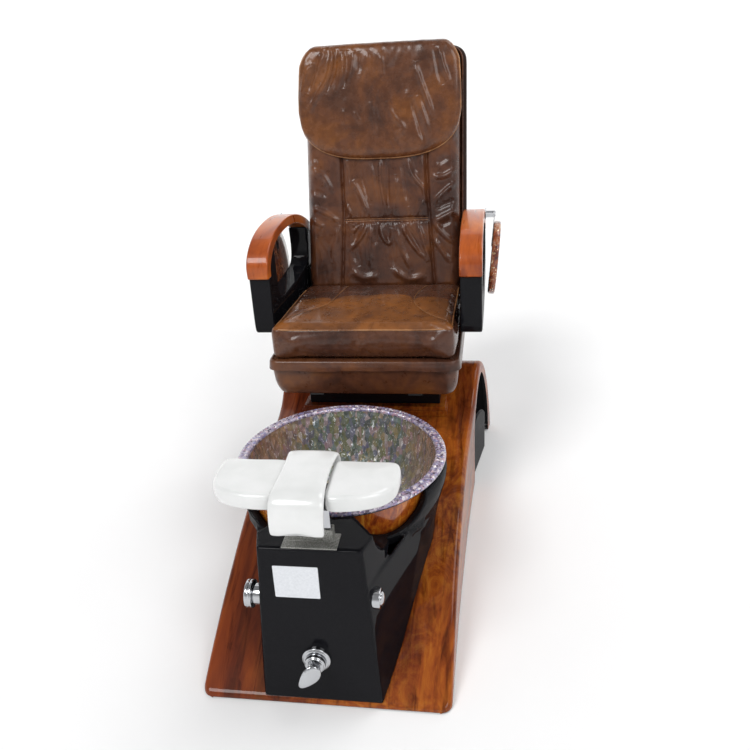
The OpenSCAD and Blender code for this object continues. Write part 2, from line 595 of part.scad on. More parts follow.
base_shell();
base_frame();
leveling_feet();
side_pods();
seat_plinth();
mount_box();
rail_channels();
slide_screw();
slide_motor();
pedestal_shell();
bowl();
bowl_gasket();
drain_flange();
drain_plug();
drain_pipe();
supply_pipes();
fill_pipe();
mixer_body();
mixer_escutcheon();
mixer_hub();
mixer_lever();
drain_knob();
jet_button();
knob_bezels();
pump_housing();
pump_motor();
pump_impeller();
pump_pipes();
footrest_bracket();
footrest_post();
footrest_hinge_plate();
footrest_pin();
footrest_bar();
footrest_pad();
label_card();
seat_frame();
rail_sliders();
slide_nut();
seat_skirt();
seat_cushion();
control_box();
recline_actuator();
recline_rod();
back_hinge_pins();
back_frame();
back_shell();
back_pad();
head_flap();
massage_guides();
massage_carriage();
massage_rollers();
arm_panels_left();
arm_cap_left();
arm_panels_right();
arm_cap_right();
arm_pivots();
tray_hinge_left();
tray_left();
tray_hinge_right();
tray_right();
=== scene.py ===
import bpy, bmesh, json, math
import numpy as np
from mathutils import Vector, Matrix, noise


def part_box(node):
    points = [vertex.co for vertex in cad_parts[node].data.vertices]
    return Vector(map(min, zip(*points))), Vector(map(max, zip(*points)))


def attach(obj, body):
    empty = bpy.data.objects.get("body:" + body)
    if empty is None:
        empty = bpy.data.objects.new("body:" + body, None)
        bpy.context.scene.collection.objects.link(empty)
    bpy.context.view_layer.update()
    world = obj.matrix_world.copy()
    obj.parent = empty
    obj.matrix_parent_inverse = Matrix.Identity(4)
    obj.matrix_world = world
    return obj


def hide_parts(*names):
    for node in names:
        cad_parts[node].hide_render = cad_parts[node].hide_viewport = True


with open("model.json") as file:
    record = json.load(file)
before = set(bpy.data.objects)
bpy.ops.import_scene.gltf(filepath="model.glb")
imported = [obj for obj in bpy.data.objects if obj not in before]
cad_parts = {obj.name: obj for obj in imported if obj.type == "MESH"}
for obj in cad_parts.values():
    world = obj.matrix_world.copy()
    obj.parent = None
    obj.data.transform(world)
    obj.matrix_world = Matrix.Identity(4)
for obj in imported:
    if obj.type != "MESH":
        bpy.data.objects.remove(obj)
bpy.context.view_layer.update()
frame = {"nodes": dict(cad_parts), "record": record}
NODE = frame["nodes"]
SC = bpy.context.scene
RNG = np.random.default_rng(7)

# ---------------------------------------------------------------- frame data
Y0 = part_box("base_shell")[0].y
BODY = {n: b for b, ns in frame["record"]["behaviour"]["bodies"].items() for n in ns}


def Y(mm):
    """Metres along the frame's y for a distance behind the deck's front edge."""
    return Y0 + mm / 1000.0


# ---------------------------------------------------------------- mesh tools
def new_obj(name, verts, faces, mats, smooth=True, idx=None):
    me = bpy.data.meshes.new(name)
    me.from_pydata([tuple(float(c) for c in v) for v in verts], [], [tuple(int(i) for i in f) for f in faces])
    o = bpy.data.objects.new(name, me)
    SC.collection.objects.link(o)
    for m in mats:
        me.materials.append(m)
    if idx is not None:
        me.polygons.foreach_set("material_index", np.array(idx, dtype=np.int32))
    bm = bmesh.new()
    bm.from_mesh(me)
    bmesh.ops.remove_doubles(bm, verts=bm.verts, dist=1e-6)
    bmesh.ops.recalc_face_normals(bm, faces=bm.faces)
    bm.to_mesh(me)
    bm.free()
    if smooth:
        me.polygons.foreach_set("use_smooth", [True] * len(me.polygons))
    me.update()
    return o


def bake(o):
    dg = bpy.context.evaluated_depsgraph_get()
    dg.update()
    me = bpy.data.meshes.new_from_object(o.evaluated_get(dg), depsgraph=dg)
    o.modifiers.clear()
    old = o.data
    o.data = me
    bpy.data.meshes.remove(old)
    me.name = o.name
    return o


def sharp(o, deg=32):
    o.data.polygons.foreach_set("use_smooth", [True] * len(o.data.polygons))
    o.data.set_sharp_from_angle(angle=math.radians(deg))
    return o


def bevel(o, width, segs=3, deg=35, weighted=True):
    m = o.modifiers.new("b", "BEVEL")
    m.width, m.segments, m.limit_method, m.angle_limit = width, segs, "ANGLE", math.radians(deg)
    m.use_clamp_overlap = True
    m.harden_normals = False
    bake(o)
    o.data.polygons.foreach_set("use_smooth", [True] * len(o.data.polygons))
    if weighted:
        w = o.modifiers.new("w", "WEIGHTED_NORMAL")
        w.keep_sharp = True
        w.weight = 80
        bake(o)
    return o


def catmull(p, n):
    """Centripetal spline through the points p, sampled at n points evenly along its length."""
    p = np.array(p, float)
    if len(p) == 2:
        return p[0] + (p[1] - p[0]) * np.linspace(0, 1, n)[:, None]
    q = np.vstack([2 * p[0] - p[1], p, 2 * p[-1] - p[-2]])
    out = []
    for i in range(1, len(q) - 2):
        a, b, c, d = q[i - 1], q[i], q[i + 1], q[i + 2]
        t0 = 0.0
        t1 = t0 + max(np.linalg.norm(b - a), 1e-9) ** 0.5
        t2 = t1 + max(np.linalg.norm(c - b), 1e-9) ** 0.5
        t3 = t2 + max(np.linalg.norm(d - c), 1e-9) ** 0.5
        for t in np.linspace(t1, t2, 17)[: 16 if i < len(q) - 3 else 17]:
            A1 = (t1 - t) / (t1 - t0) * a + (t - t0) / (t1 - t0) * b
            A2 = (t2 - t) / (t2 - t1) * b + (t - t1) / (t2 - t1) * c
            A3 = (t3 - t) / (t3 - t2) * c + (t - t2) / (t3 - t2) * d
            B1 = (t2 - t) / (t2 - t0) * A1 + (t - t0) / (t2 - t0) * A2
            B2 = (t3 - t) / (t3 - t1) * A2 + (t - t1) / (t3 - t1) * A3
            out.append((t2 - t) / (t2 - t1) * B1 + (t - t1) / (t2 - t1) * B2)
    out = np.array(out)
    s = np.concatenate([[0], np.cumsum(np.linalg.norm(np.diff(out, axis=0), axis=1))])
    k = np.linspace(0, s[-1], n)
    return np.stack([np.interp(k, s, out[:, j]) for j in range(out.shape[1])], 1)


def outline(pts, step=0.008, corner=48):
    """A closed outline whose gentle runs are splines and whose sharp corners stay."""
    p = np.array(pts, float)
    n = len(p)
    cor = []
    for i in range(n):
        a, b = p[i] - p[i - 1], p[(i + 1) % n] - p[i]
        ang = abs(math.degrees(math.atan2(a[0] * b[1] - a[1] * b[0], float(a @ b))))
        if ang > corner:
            cor.append(i)
    if not cor:
        cor = [0]
    out = []
    for k, i in enumerate(cor):
        j = cor[(k + 1) % len(cor)]
        run = [p[(i + m) % n] for m in range(((j - i) % n or n) + 1)]
        L = sum(np.linalg.norm(run[m + 1] - run[m]) for m in range(len(run) - 1))
        out.extend(catmull(run, max(2, int(L / step) + 1))[:-1] if len(run) > 2 else run[:-1])
    return np.array(out)


def prism(name, pts, x0, x1, mats, width=0.004, segs=3, deg=35):
    """A y,z outline extruded across x, its rims rounded."""
    n = len(pts)
    v = [(x0, a, b) for a, b in pts] + [(x1, a, b) for a, b in pts]
    f = [tuple(range(n)), tuple(range(n, 2 * n))] + [(i, (i + 1) % n, n + (i + 1) % n, n + i) for i in range(n)]
    o = new_obj(name, v, f, mats)
    return bevel(o, width, segs, deg)


def rings_mesh(name, rings, mats, close_ring=True, cap0=False, cap1=False, idx=None, smooth=True):
    """Joins rings of the same number of points."""
    R, n = len(rings), len(rings[0])
    v = np.concatenate([np.asarray(r, float) for r in rings])
    f, mi = [], []
    for i in range(R - 1):
        for j in range(n if close_ring else n - 1):
            k = (j + 1) % n
            f.append((i * n + j, i * n + k, (i + 1) * n + k, (i + 1) * n + j))
            mi.append(idx(i, j) if idx else 0)
    if cap0:
        f.append(tuple(range(n)))
        mi.append(idx(0, 0) if idx else 0)
    if cap1:
        f.append(tuple(range((R - 1) * n, R * n)))
        mi.append(idx(R - 2, 0) if idx else 0)
    return new_obj(name, v, f, mats, smooth, mi if idx else None)


def lathe(name, prof, origin, axis, mats, n=64, idx=None):
    """Turns a (radius, height) profile about an axis. Radius 0 at an end closes it."""
    axis = Vector(axis).normalized()
    q = Vector((0, 0, 1)).rotation_difference(axis)
    o = Vector(origin)
    rings = []
    for r, h in prof:
        rings.append([o + q @ Vector((max(r, 1e-5) * math.cos(t), max(r, 1e-5) * math.sin(t), h)) for t in np.linspace(0, 2 * math.pi, n, endpoint=False)])
    ob = rings_mesh(name, [np.array([list(p) for p in r]) for r in rings], mats, idx=idx, cap0=prof[0][0] < 1e-4, cap1=prof[-1][0] < 1e-4)
    return ob


def tube(name, pts, r, mats, n=10, cap=True):
    """A round tube through points."""
    p = np.array(pts, float)
    t = np.gradient(p, axis=0)
    t /= np.linalg.norm(t, axis=1)[:, None]
    up = Vector((0, 0, 1)) if abs(t[0][2]) < 0.9 else Vector((1, 0, 0))
    rings = []
    prev = None
    for a, d in zip(p, t):
        d = Vector(d)
        if prev is None:
            u = d.cross(up).normalized()
        else:
            u = (prev - d * prev.dot(d)).normalized()
        prev = u
        w = d.cross(u)
        rings.append([[*(Vector(a) + u * (r * math.cos(k)) + w * (r * math.sin(k)))] for k in np.linspace(0, 2 * math.pi, n, endpoint=False)])
    return rings_mesh(name, rings, mats, cap0=cap, cap1=cap)


def copy_node(name, node, mats, width=0.003, segs=3, deg=35):
    """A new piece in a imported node's shape, its flat faces joined and its edges rounded."""
    me = NODE[node].data.copy()
    me.materials.clear()
    for m in mats:
        me.materials.append(m)
    me.attributes.remove(me.attributes["custom_normal"]) if "custom_normal" in me.attributes else None
    o = bpy.data.objects.new(name, me)
    SC.collection.objects.link(o)
    bm = bmesh.new()
    bm.from_mesh(me)
    bmesh.ops.remove_doubles(bm, verts=bm.verts, dist=2e-5)
    bmesh.ops.dissolve_limit(bm, angle_limit=math.radians(0.6), verts=bm.verts, edges=bm.edges)
    for f in bm.faces:
        f.material_index = 0
    bm.to_mesh(me)
    bm.free()
    if width:
        bevel(o, width, segs, deg)
    return o


def get_co(o):
    n = len(o.data.vertices)
    c = np.zeros(n * 3)
    o.data.vertices.foreach_get("co", c)
    return c.reshape(-1, 3)


def set_co(o, c):
    o.data.vertices.foreach_set("co", np.ascontiguousarray(c, dtype=np.float32).ravel())
    o.data.update()


def put(o, body, *replaced, slot=None):
    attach(o, body)
    if replaced:
        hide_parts(*replaced)
    return o


def seg_dist(X, Z, pts):
    """Distance from grid points to a polyline, and how far along it (0 to 1)."""
    best = np.full(X.shape, 1e9)
    along = np.zeros(X.shape)
    p = np.array(pts, float)
    L = np.concatenate([[0], np.cumsum(np.linalg.norm(np.diff(p, axis=0), axis=1))])
    for i in range(len(p) - 1):
        a, b = p[i], p[i + 1]
        d = b - a
        l2 = float(d @ d)
        t = np.clip(((X - a[0]) * d[0] + (Z - a[1]) * d[1]) / l2, 0, 1)
        q = np.hypot(X - a[0] - t * d[0], Z - a[1] - t * d[1])
        m = q < best
        best = np.where(m, q, best)
        along = np.where(m, (L[i] + t * (L[i + 1] - L[i])) / L[-1], along)
    return best, along


def fold(X, Z, pts, w, amp, taper=0.25):
    """A soft ridge (amp > 0) or furrow (amp < 0) along a smooth line, fading at its ends."""
    p = catmull(pts, 24) if len(pts) > 2 else np.array(pts, float)
    d, s = seg_dist(X, Z, p)
    end = np.clip(np.minimum(s, 1 - s) / taper, 0, 1)
    end = end * end * (3 - 2 * end)
    return amp * np.exp(-((d / w) ** 2)) * (0.25 + 0.75 * end) * (end > 0) + 0 * d


def nz(x, y, z, s):
    return noise.noise(Vector((x * s, y * s, z * s)))


# ---------------------------------------------------------------- materials
class Mat:
    def __init__(self, name, rough=0.4, metal=0.0, coat=0.0, coat_rough=0.05, ior=1.5, spec=0.5, color=(0.5, 0.5, 0.5), sheen=0.0, trans=0.0):
        self.m = bpy.data.materials.new(name)
        self.m.use_nodes = True
        self.nt = self.m.node_tree
        self.b = next(n for n in self.nt.nodes if n.type == "BSDF_PRINCIPLED")
        s = self.b.inputs
        s["Roughness"].default_value = rough
        s["Metallic"].default_value = metal
        s["Coat Weight"].default_value = coat
        s["Coat Roughness"].default_value = coat_rough
        s["IOR"].default_value = ior
        s["Specular IOR Level"].default_value = spec
        s["Base Color"].default_value = (*color, 1)
        s["Sheen Weight"].default_value = sheen
        s["Transmission Weight"].default_value = trans
        self.m.diffuse_color = (*color, 1)
        self.co = self.nt.nodes.new("ShaderNodeTexCoord").outputs["Object"]
        self.n = None

    def node(self, kind, **kw):
        n = self.nt.nodes.new("ShaderNode" + kind)
        for k, v in kw.items():
            if k in n.inputs:
                n.inputs[k].default_value = v
            else:
                setattr(n, k, v)
        return n

    def link(self, a, b):
        self.nt.links.new(a, b)

    def vec(self, scale=(1, 1, 1), rot=(0, 0, 0), src=None):
        n = self.node("Mapping")
        n.inputs["Scale"].default_value = scale
        n.inputs["Rotation"].default_value = rot
        self.link(src or self.co, n.inputs["Vector"])
        return n.outputs["Vector"]

    def noise(self, scale, detail=3.0, rough=0.5, dist=0.0, vec=None):
        n = self.node("TexNoise")
        n.inputs["Scale"].default_value = scale
        n.inputs["Detail"].default_value = detail
        n.inputs["Roughness"].default_value = rough
        n.inputs["Distortion"].default_value = dist
        self.link(vec or self.co, n.inputs["Vector"])
        return n.outputs["Fac"]

    def voronoi(self, scale, vec=None, feature="F1", rnd=1.0, out="Distance"):
        n = self.node("TexVoronoi", feature=feature)
        n.inputs["Scale"].default_value = scale
        n.inputs["Randomness"].default_value = rnd
        self.link(vec or self.co, n.inputs["Vector"])
        return n.outputs[out]

    def wave(self, scale, dist, detail=2.0, dscale=1.0, vec=None, direction="X"):
        n = self.node("TexWave", wave_type="BANDS", bands_direction=direction)
        n.inputs["Scale"].default_value = scale
        n.inputs["Distortion"].default_value = dist
        n.inputs["Detail"].default_value = detail
        n.inputs["Detail Scale"].default_value = dscale
        self.link(vec or self.co, n.inputs["Vector"])
        return n.outputs["Fac"]

    def ramp(self, fac, stops, interp="LINEAR"):
        n = self.node("ValToRGB")
        n.color_ramp.interpolation = interp
        e = n.color_ramp.elements
        while len(e) < len(stops):
            e.new(0.5)
        for k, (p, c) in enumerate(stops):
            e[k].position = p
            e[k].color = (*c, 1) if not isinstance(c, (int, float)) else (c, c, c, 1)
        self.link(fac, n.inputs["Fac"])
        return n.outputs["Color"]

    def mix(self, a, b, fac=0.5, mode="MIX"):
        n = self.node("Mix", data_type="RGBA", blend_type=mode)
        for s, v in ((0, fac), (6, a), (7, b)):
            if hasattr(v, "is_linked") or hasattr(v, "links"):
                self.link(v, n.inputs[s])
            elif s == 0:
                n.inputs[s].default_value = v
            else:
                n.inputs[s].default_value = (*v, 1)
        return n.outputs[2]

    def rng(self, v, a, b, c, d):
        n = self.node("MapRange")
        for k, x in zip(("From Min", "From Max", "To Min", "To Max"), (a, b, c, d)):
            n.inputs[k].default_value = x
        self.link(v, n.inputs["Value"])
        return n.outputs["Result"]

    def math(self, op, a, b):
        n = self.node("Math", operation=op)
        for i, v in enumerate((a, b)):
            if hasattr(v, "links"):
                self.link(v, n.inputs[i])
            else:
                n.inputs[i].default_value = v
        return n.outputs[0]

    def sep(self, axis):
        n = self.node("SeparateXYZ")
        self.link(self.co, n.inputs[0])
        return n.outputs[axis]

    def color(self, out):
        self.link(out, self.b.inputs["Base Color"])

    def roughness(self, out):
        self.link(out, self.b.inputs["Roughness"])

    def bump(self, h, strength=0.2, dist=0.001):
        n = self.node("Bump")
        n.inputs["Strength"].default_value = strength
        n.inputs["Distance"].default_value = dist
        self.link(h, n.inputs["Height"])
        if self.n:
            self.link(self.n, n.inputs["Normal"])
        self.n = n.outputs["Normal"]
        self.link(self.n, self.b.inputs["Normal"])


def wood_mat(name, dark_side=True):
    w = Mat(name, rough=0.34, coat=0.45, coat_rough=0.03, color=(0.35, 0.1, 0.02), spec=0.05)
    flow = w.noise(2.6, 2.0, 0.5, 0.0)
    v1 = w.vec((1.0, 0.20, 0.5))
    v2 = w.vec((1.0, 0.075, 0.25))
    big = w.noise(7.0, 4.0, 0.62, 2.4, v1)
    fine = w.noise(42.0, 4.0, 0.6, 1.2, v2)
    burl = w.noise(13.0, 6.0, 0.68, 3.2, w.vec((1.0, 0.55, 1.0)))
    base = w.ramp(big, [(0.30, (0.060, 0.013, 0.006)), (0.42, (0.20, 0.042, 0.010)), (0.52, (0.36, 0.088, 0.013)), (0.64, (0.50, 0.155, 0.018)), (0.80, (0.60, 0.25, 0.035))])
    gold = w.ramp(burl, [(0.33, (0.15, 0.030, 0.008)), (0.47, (0.37, 0.095, 0.012)), (0.60, (0.56, 0.20, 0.022)), (0.78, (0.66, 0.31, 0.05))])
    c = w.mix(base, gold, w.ramp(flow, [(0.40, 0.15), (0.62, 0.85)]))
    if dark_side:
        left = w.rng(w.sep("X"), -0.24, 0.02, 1.0, 0.0)
        red = w.ramp(w.noise(9.0, 5.0, 0.6, 1.6, v2), [(0.34, (0.040, 0.011, 0.006)), (0.48, (0.15, 0.030, 0.010)), (0.60, (0.28, 0.060, 0.012)), (0.76, (0.42, 0.12, 0.018))])
        c = w.mix(c, red, w.math("MULTIPLY", left, 0.95))
    streak = w.ramp(fine, [(0.34, (0.30, 0.22, 0.18)), (0.50, (1, 1, 1))])
    c = w.mix(c, streak, 0.8, "MULTIPLY")
    spot = w.ramp(w.noise(5.0, 5.0, 0.7, 1.0, w.vec((1.0, 0.4, 1.0))), [(0.30, (0.16, 0.10, 0.08)), (0.40, (1, 1, 1))])
    c = w.mix(c, spot, 0.75, "MULTIPLY")
    c = w.mix(c, (0.70, 0.60, 0.58), 1.0, "MULTIPLY")
    w.color(c)
    w.roughness(w.rng(fine, 0.3, 0.7, 0.28, 0.42))
    w.bump(w.noise(9.0, 2.0), 0.05, 0.002)
    return w.m


def cap_mat(name):
    w = Mat(name, rough=0.32, coat=0.5, coat_rough=0.035, color=(0.45, 0.1, 0.01), spec=0.2)
    a = w.noise(5.0, 4.0, 0.55, 1.5, w.vec((1.3, 0.35, 0.6)))
    b = w.noise(60.0, 3.0, 0.6, 0.6, w.vec((1.0, 0.12, 0.25)))
    c = w.ramp(a, [(0.30, (0.25, 0.045, 0.008)), (0.48, (0.43, 0.088, 0.010)), (0.66, (0.56, 0.145, 0.014)), (0.82, (0.64, 0.20, 0.022))])
    c = w.mix(c, w.ramp(b, [(0.32, (0.60, 0.50, 0.45)), (0.50, (1, 1, 1))]), 0.5, "MULTIPLY")
    w.color(c)
    w.roughness(w.rng(b, 0.3, 0.7, 0.26, 0.38))
    w.bump(w.noise(7.0, 2.0), 0.05, 0.002)
    return w.m


def black_mat(name, rough=0.16, coat=0.8, base=(0.0075, 0.0075, 0.0085), orange=18.0):
    w = Mat(name, rough=rough, coat=coat, coat_rough=0.04, color=base, spec=0.0)
    n = w.noise(orange, 3.0)
    w.color(w.ramp(w.noise(160.0, 3.0), [(0.35, tuple(c * 0.9 for c in base)), (0.7, tuple(c * 1.12 for c in base))]))
    w.roughness(w.rng(n, 0.3, 0.7, rough * 0.8, rough * 1.35))
    w.bump(n, 0.05, 0.0025)
    return w.m


def leather_mat(name, dark=(0.060, 0.022, 0.011), mid=(0.135, 0.046, 0.018), hot=(0.285, 0.088, 0.014), rough=0.30, bias=0.0):
    w = Mat(name, rough=rough, coat=0.34, coat_rough=0.12, color=mid, spec=0.25)
    a = w.noise(6.5, 4.0, 0.58, 0.9)
    b = w.noise(38.0, 4.0, 0.6)
    c = w.ramp(a, [(0.34 - bias, dark), (0.50 - bias, mid), (0.64 - bias, tuple((m + h) / 2 for m, h in zip(mid, hot))), (0.78 - bias, hot)])
    c = w.mix(c, w.ramp(b, [(0.30, (0.72, 0.68, 0.66)), (0.62, (1.12, 1.10, 1.08))]), 0.8, "MULTIPLY")
    w.color(c)
    cells = w.voronoi(520.0, feature="DISTANCE_TO_EDGE")
    w.roughness(w.rng(b, 0.3, 0.7, rough - 0.05, rough + 0.10))
    w.bump(w.ramp(cells, [(0.0, 0.0), (0.12, 1.0)]), 0.16, 0.0004)
    w.bump(w.noise(130.0, 2.0, 0.5), 0.03, 0.0010)
    w.bump(w.noise(18.0, 2.0, 0.5), 0.05, 0.004)
    return w.m


def white_mat(name):
    w = Mat(name, rough=0.20, coat=0.6, coat_rough=0.05, color=(0.66, 0.67, 0.66))
    w.b.inputs["Subsurface Weight"].default_value = 0.0
    w.color(w.ramp(w.noise(14.0, 4.0), [(0.35, (0.69, 0.70, 0.69)), (0.65, (0.75, 0.755, 0.75))]))
    w.roughness(w.rng(w.noise(60.0), 0.3, 0.7, 0.17, 0.27))
    w.bump(w.noise(22.0, 2.0), 0.06, 0.003)
    w.bump(w.voronoi(700.0), 0.03, 0.0003)
    return w.m


def metal_mat(name, base=(0.54, 0.55, 0.57), rough=0.07, grain=0.0):
    w = Mat(name, rough=rough, metal=1.0, color=base)
    n = w.noise(45.0, 4.0)
    w.color(w.ramp(n, [(0.3, tuple(c * 0.93 for c in base)), (0.7, base)]))
    w.roughness(w.rng(w.noise(220.0, 3.0), 0.3, 0.7, rough * 0.8, rough * 1.5 + 0.01))
    if grain:
        w.bump(w.noise(600.0, 2.0), grain, 0.0004)
    return w.m


def plain_mat(name, base, rough=0.5, var=0.18, bumpy=0.08, scale=60.0, coat=0.0, metal=0.0):
    w = Mat(name, rough=rough, color=base, coat=coat, metal=metal)
    w.color(w.ramp(w.noise(scale, 4.0), [(0.3, tuple(c * (1 - var) for c in base)), (0.7, tuple(min(1, c * (1 + var)) for c in base))]))
    w.roughness(w.rng(w.noise(scale * 2), 0.3, 0.7, max(rough - 0.07, 0.03), min(rough + 0.1, 1)))
    w.bump(w.noise(scale * 8, 2.0), bumpy, 0.0005)
    return w.m


def speckle_mat(name):
    w = Mat(name, rough=0.38, metal=0.35, color=(0.25, 0.25, 0.23))
    n = w.noise(520.0, 3.0, 0.6)
    w.color(w.ramp(n, [(0.36, (0.10, 0.10, 0.09)), (0.50, (0.23, 0.23, 0.21)), (0.64, (0.42, 0.42, 0.40))]))
    w.roughness(w.rng(n, 0.3, 0.7, 0.28, 0.5))
    w.bump(n, 0.15, 0.0004)
    return w.m


def glass_in_mat(name):
    w = Mat(name, rough=0.12, metal=0.15, coat=1.0, coat_rough=0.03, color=(0.2, 0.2, 0.18), spec=0.8)
    warp = w.vec((1.0, 1.0, 0.50))
    cell = w.voronoi(92.0, warp, out="Color")
    sepc = w.node("SeparateColor")
    w.link(cell, sepc.inputs[0])
    hue = w.ramp(sepc.outputs[0], [(0.0, (0.030, 0.034, 0.040)), (0.14, (0.085, 0.13, 0.11)), (0.28, (0.20, 0.19, 0.055)), (0.40, (0.070, 0.085, 0.11)), (0.52, (0.16, 0.13, 0.27)), (0.64, (0.11, 0.19, 0.17)), (0.76, (0.33, 0.23, 0.08)), (0.88, (0.36, 0.20, 0.26)), (1.0, (0.55, 0.53, 0.50))])
    mottled = w.ramp(w.noise(60.0, 5.0, 0.7, 1.6, warp), [(0.30, (0.02, 0.025, 0.03)), (0.44, (0.10, 0.11, 0.075)), (0.56, (0.13, 0.15, 0.17)), (0.68, (0.38, 0.29, 0.16)), (0.80, (0.60, 0.55, 0.55))])
    c = w.mix(w.mix(hue, mottled, 0.5), (1.25, 1.25, 1.22), 1.0, "MULTIPLY")
    glint = w.ramp(w.noise(150.0, 3.0, 0.6, 1.2, warp), [(0.60, (0, 0, 0)), (0.70, (0.75, 0.78, 0.85))])
    c = w.mix(c, glint, 1.0, "ADD")
    # amber streaks come through towards the two sides of the bowl
    side = w.rng(w.math("ABSOLUTE", w.sep("X"), 0.0), 0.12, 0.235, 0.0, 0.9)
    amber = w.ramp(w.noise(34.0, 5.0, 0.65, 1.0, w.vec((1.0, 1.0, 0.22))), [(0.32, (0.10, 0.025, 0.015)), (0.50, (0.36, 0.12, 0.05)), (0.70, (0.62, 0.36, 0.20))])
    c = w.mix(c, amber, w.math("MULTIPLY", side, 0.75))
    w.color(c)
    w.bump(w.voronoi(105.0, warp), 0.75, 0.0035)
    w.bump(w.noise(150.0, 4.0, 0.6, 0.5, warp), 0.6, 0.0018)
    return w.m


def glass_rim_mat(name):
    w = Mat(name, rough=0.10, metal=0.30, coat=1.0, coat_rough=0.03, color=(0.45, 0.4, 0.5))
    cell = w.voronoi(170.0, out="Color")
    s = w.node("SeparateColor")
    w.link(cell, s.inputs[0])
    w.color(w.ramp(s.outputs[1], [(0.0, (0.07, 0.045, 0.07)), (0.22, (0.24, 0.19, 0.30)), (0.45, (0.50, 0.44, 0.52)), (0.65, (0.20, 0.20, 0.40)), (0.82, (0.46, 0.27, 0.33)), (1.0, (0.86, 0.84, 0.86))]))
    w.bump(w.voronoi(190.0), 0.7, 0.0022)
    return w.m


def glass_out_mat(name):
    w = Mat(name, rough=0.22, metal=0.10, coat=0.7, coat_rough=0.03, color=(0.4, 0.12, 0.02), spec=0.3)
    v = w.vec((1.0, 1.0, 0.26), (0.25, 0.15, 0.0))
    a = w.noise(34.0, 6.0, 0.68, 1.4, v)
    b = w.noise(110.0, 4.0, 0.6, 0.5, v)
    c = w.ramp(a, [(0.30, (0.11, 0.016, 0.005)), (0.44, (0.33, 0.065, 0.008)), (0.56, (0.52, 0.155, 0.014)), (0.68, (0.68, 0.30, 0.04)), (0.82, (0.83, 0.56, 0.20))])
    c = w.mix(c, w.ramp(b, [(0.33, (0.40, 0.28, 0.22)), (0.55, (1, 1, 1))]), 0.55, "MULTIPLY")
    low = w.rng(w.sep("Z"), 0.30, 0.40, 0.35, 0.0)
    c = w.mix(c, (0.25, 0.03, 0.006), low)
    w.color(c)
    w.bump(a, 0.25, 0.002)
    return w.m


def resin_mat(name):
    w = Mat(name, rough=0.18, coat=1.0, coat_rough=0.03, color=(0.3, 0.1, 0.05), spec=0.3)
    a = w.noise(17.0, 6.0, 0.65, 2.6)
    c = w.ramp(a, [(0.28, (0.040, 0.012, 0.014)), (0.42, (0.14, 0.032, 0.022)), (0.54, (0.34, 0.085, 0.024)), (0.66, (0.42, 0.22, 0.13)), (0.80, (0.60, 0.50, 0.46))])
    cell = w.voronoi(300.0, out="Color")
    s = w.node("SeparateColor")
    w.link(cell, s.inputs[0])
    fl = w.ramp(s.outputs[0], [(0.90, 0.0), (0.93, 1.0)])
    c = w.mix(c, (0.85, 0.62, 0.36), fl)
    w.color(c)
    w.link(w.rng(fl, 0, 1, 0.0, 0.8), w.b.inputs["Metallic"])
    w.bump(w.noise(90.0, 3.0), 0.12, 0.001)
    return w.m


def paper_mat(name):
    w = Mat(name, rough=0.75, color=(0.72, 0.74, 0.76))
    w.color(w.ramp(w.noise(180.0, 5.0, 0.7), [(0.3, (0.63, 0.65, 0.68)), (0.7, (0.74, 0.76, 0.79))]))
    w.bump(w.noise(900.0, 3.0), 0.08, 0.0003)
    return w.m


M = {
    "deck_grain": wood_mat("deck_grain"),
    "cap_grain": cap_mat("cap_grain"),
    "black_gloss": black_mat("black_gloss", 0.17, 0.26, (0.0062, 0.0062, 0.0078)),
    "black_satin": black_mat("black_satin", 0.30, 0.12, (0.009, 0.009, 0.010), 30.0),
    "black_shell": black_mat("black_shell", 0.20, 0.45, (0.030, 0.017, 0.013), 24.0),
    "leather": leather_mat("leather", (0.042, 0.016, 0.0095), (0.088, 0.032, 0.016), (0.175, 0.060, 0.015)),
    # lighter copy of the brown leather for the seat's top: painted light on the lit top
    "leather_seat": leather_mat("leather_seat", (0.090, 0.033, 0.014), (0.165, 0.060, 0.017), (0.27, 0.092, 0.016), 0.28, 0.05),
    "leather_flap": leather_mat("leather_flap", (0.060, 0.023, 0.012), (0.112, 0.040, 0.016), (0.20, 0.068, 0.013), 0.24, 0.03),
    # darker copy of the brown leather for sides and undersides: painted shade
    "leather_dark": leather_mat("leather_dark", (0.045, 0.0175, 0.0105), (0.080, 0.030, 0.016), (0.13, 0.045, 0.014), 0.26, 0.0),
    # piping is real, its lighter tan is partly a painted highlight along the rolled edges
    "piping": leather_mat("piping", (0.20, 0.085, 0.035), (0.34, 0.16, 0.065), (0.46, 0.24, 0.10), 0.28),
    "seam": leather_mat("seam", (0.22, 0.10, 0.045), (0.30, 0.14, 0.06), (0.40, 0.2, 0.09), 0.45),
    "white_vinyl": white_mat("white_vinyl"),
    "glass_in": glass_in_mat("glass_in"),
    "glass_rim": glass_rim_mat("glass_rim"),
    "glass_out": glass_out_mat("glass_out"),
    "tray_resin": resin_mat("tray_resin"),
    "chrome": metal_mat("chrome"),
    "steel": metal_mat("steel", (0.55, 0.56, 0.57), 0.28, 0.1),
    "sleeve": metal_mat("sleeve", (0.62, 0.63, 0.62), 0.30, 0.06),
    "plate": speckle_mat("plate"),
    "painted_steel": plain_mat("painted_steel", (0.045, 0.047, 0.050), 0.42),
    "brass": metal_mat("brass", (0.72, 0.50, 0.20), 0.22, 0.05),
    "pvc": plain_mat("pvc", (0.62, 0.62, 0.58), 0.42),
    "rubber": plain_mat("rubber", (0.022, 0.022, 0.022), 0.72, 0.25, 0.2),
    "motor_paint": plain_mat("motor_paint", (0.045, 0.10, 0.20), 0.40, coat=0.2),
    "roller_rubber": plain_mat("roller_rubber", (0.42, 0.29, 0.16), 0.6),
    "card": paper_mat("card"),
}

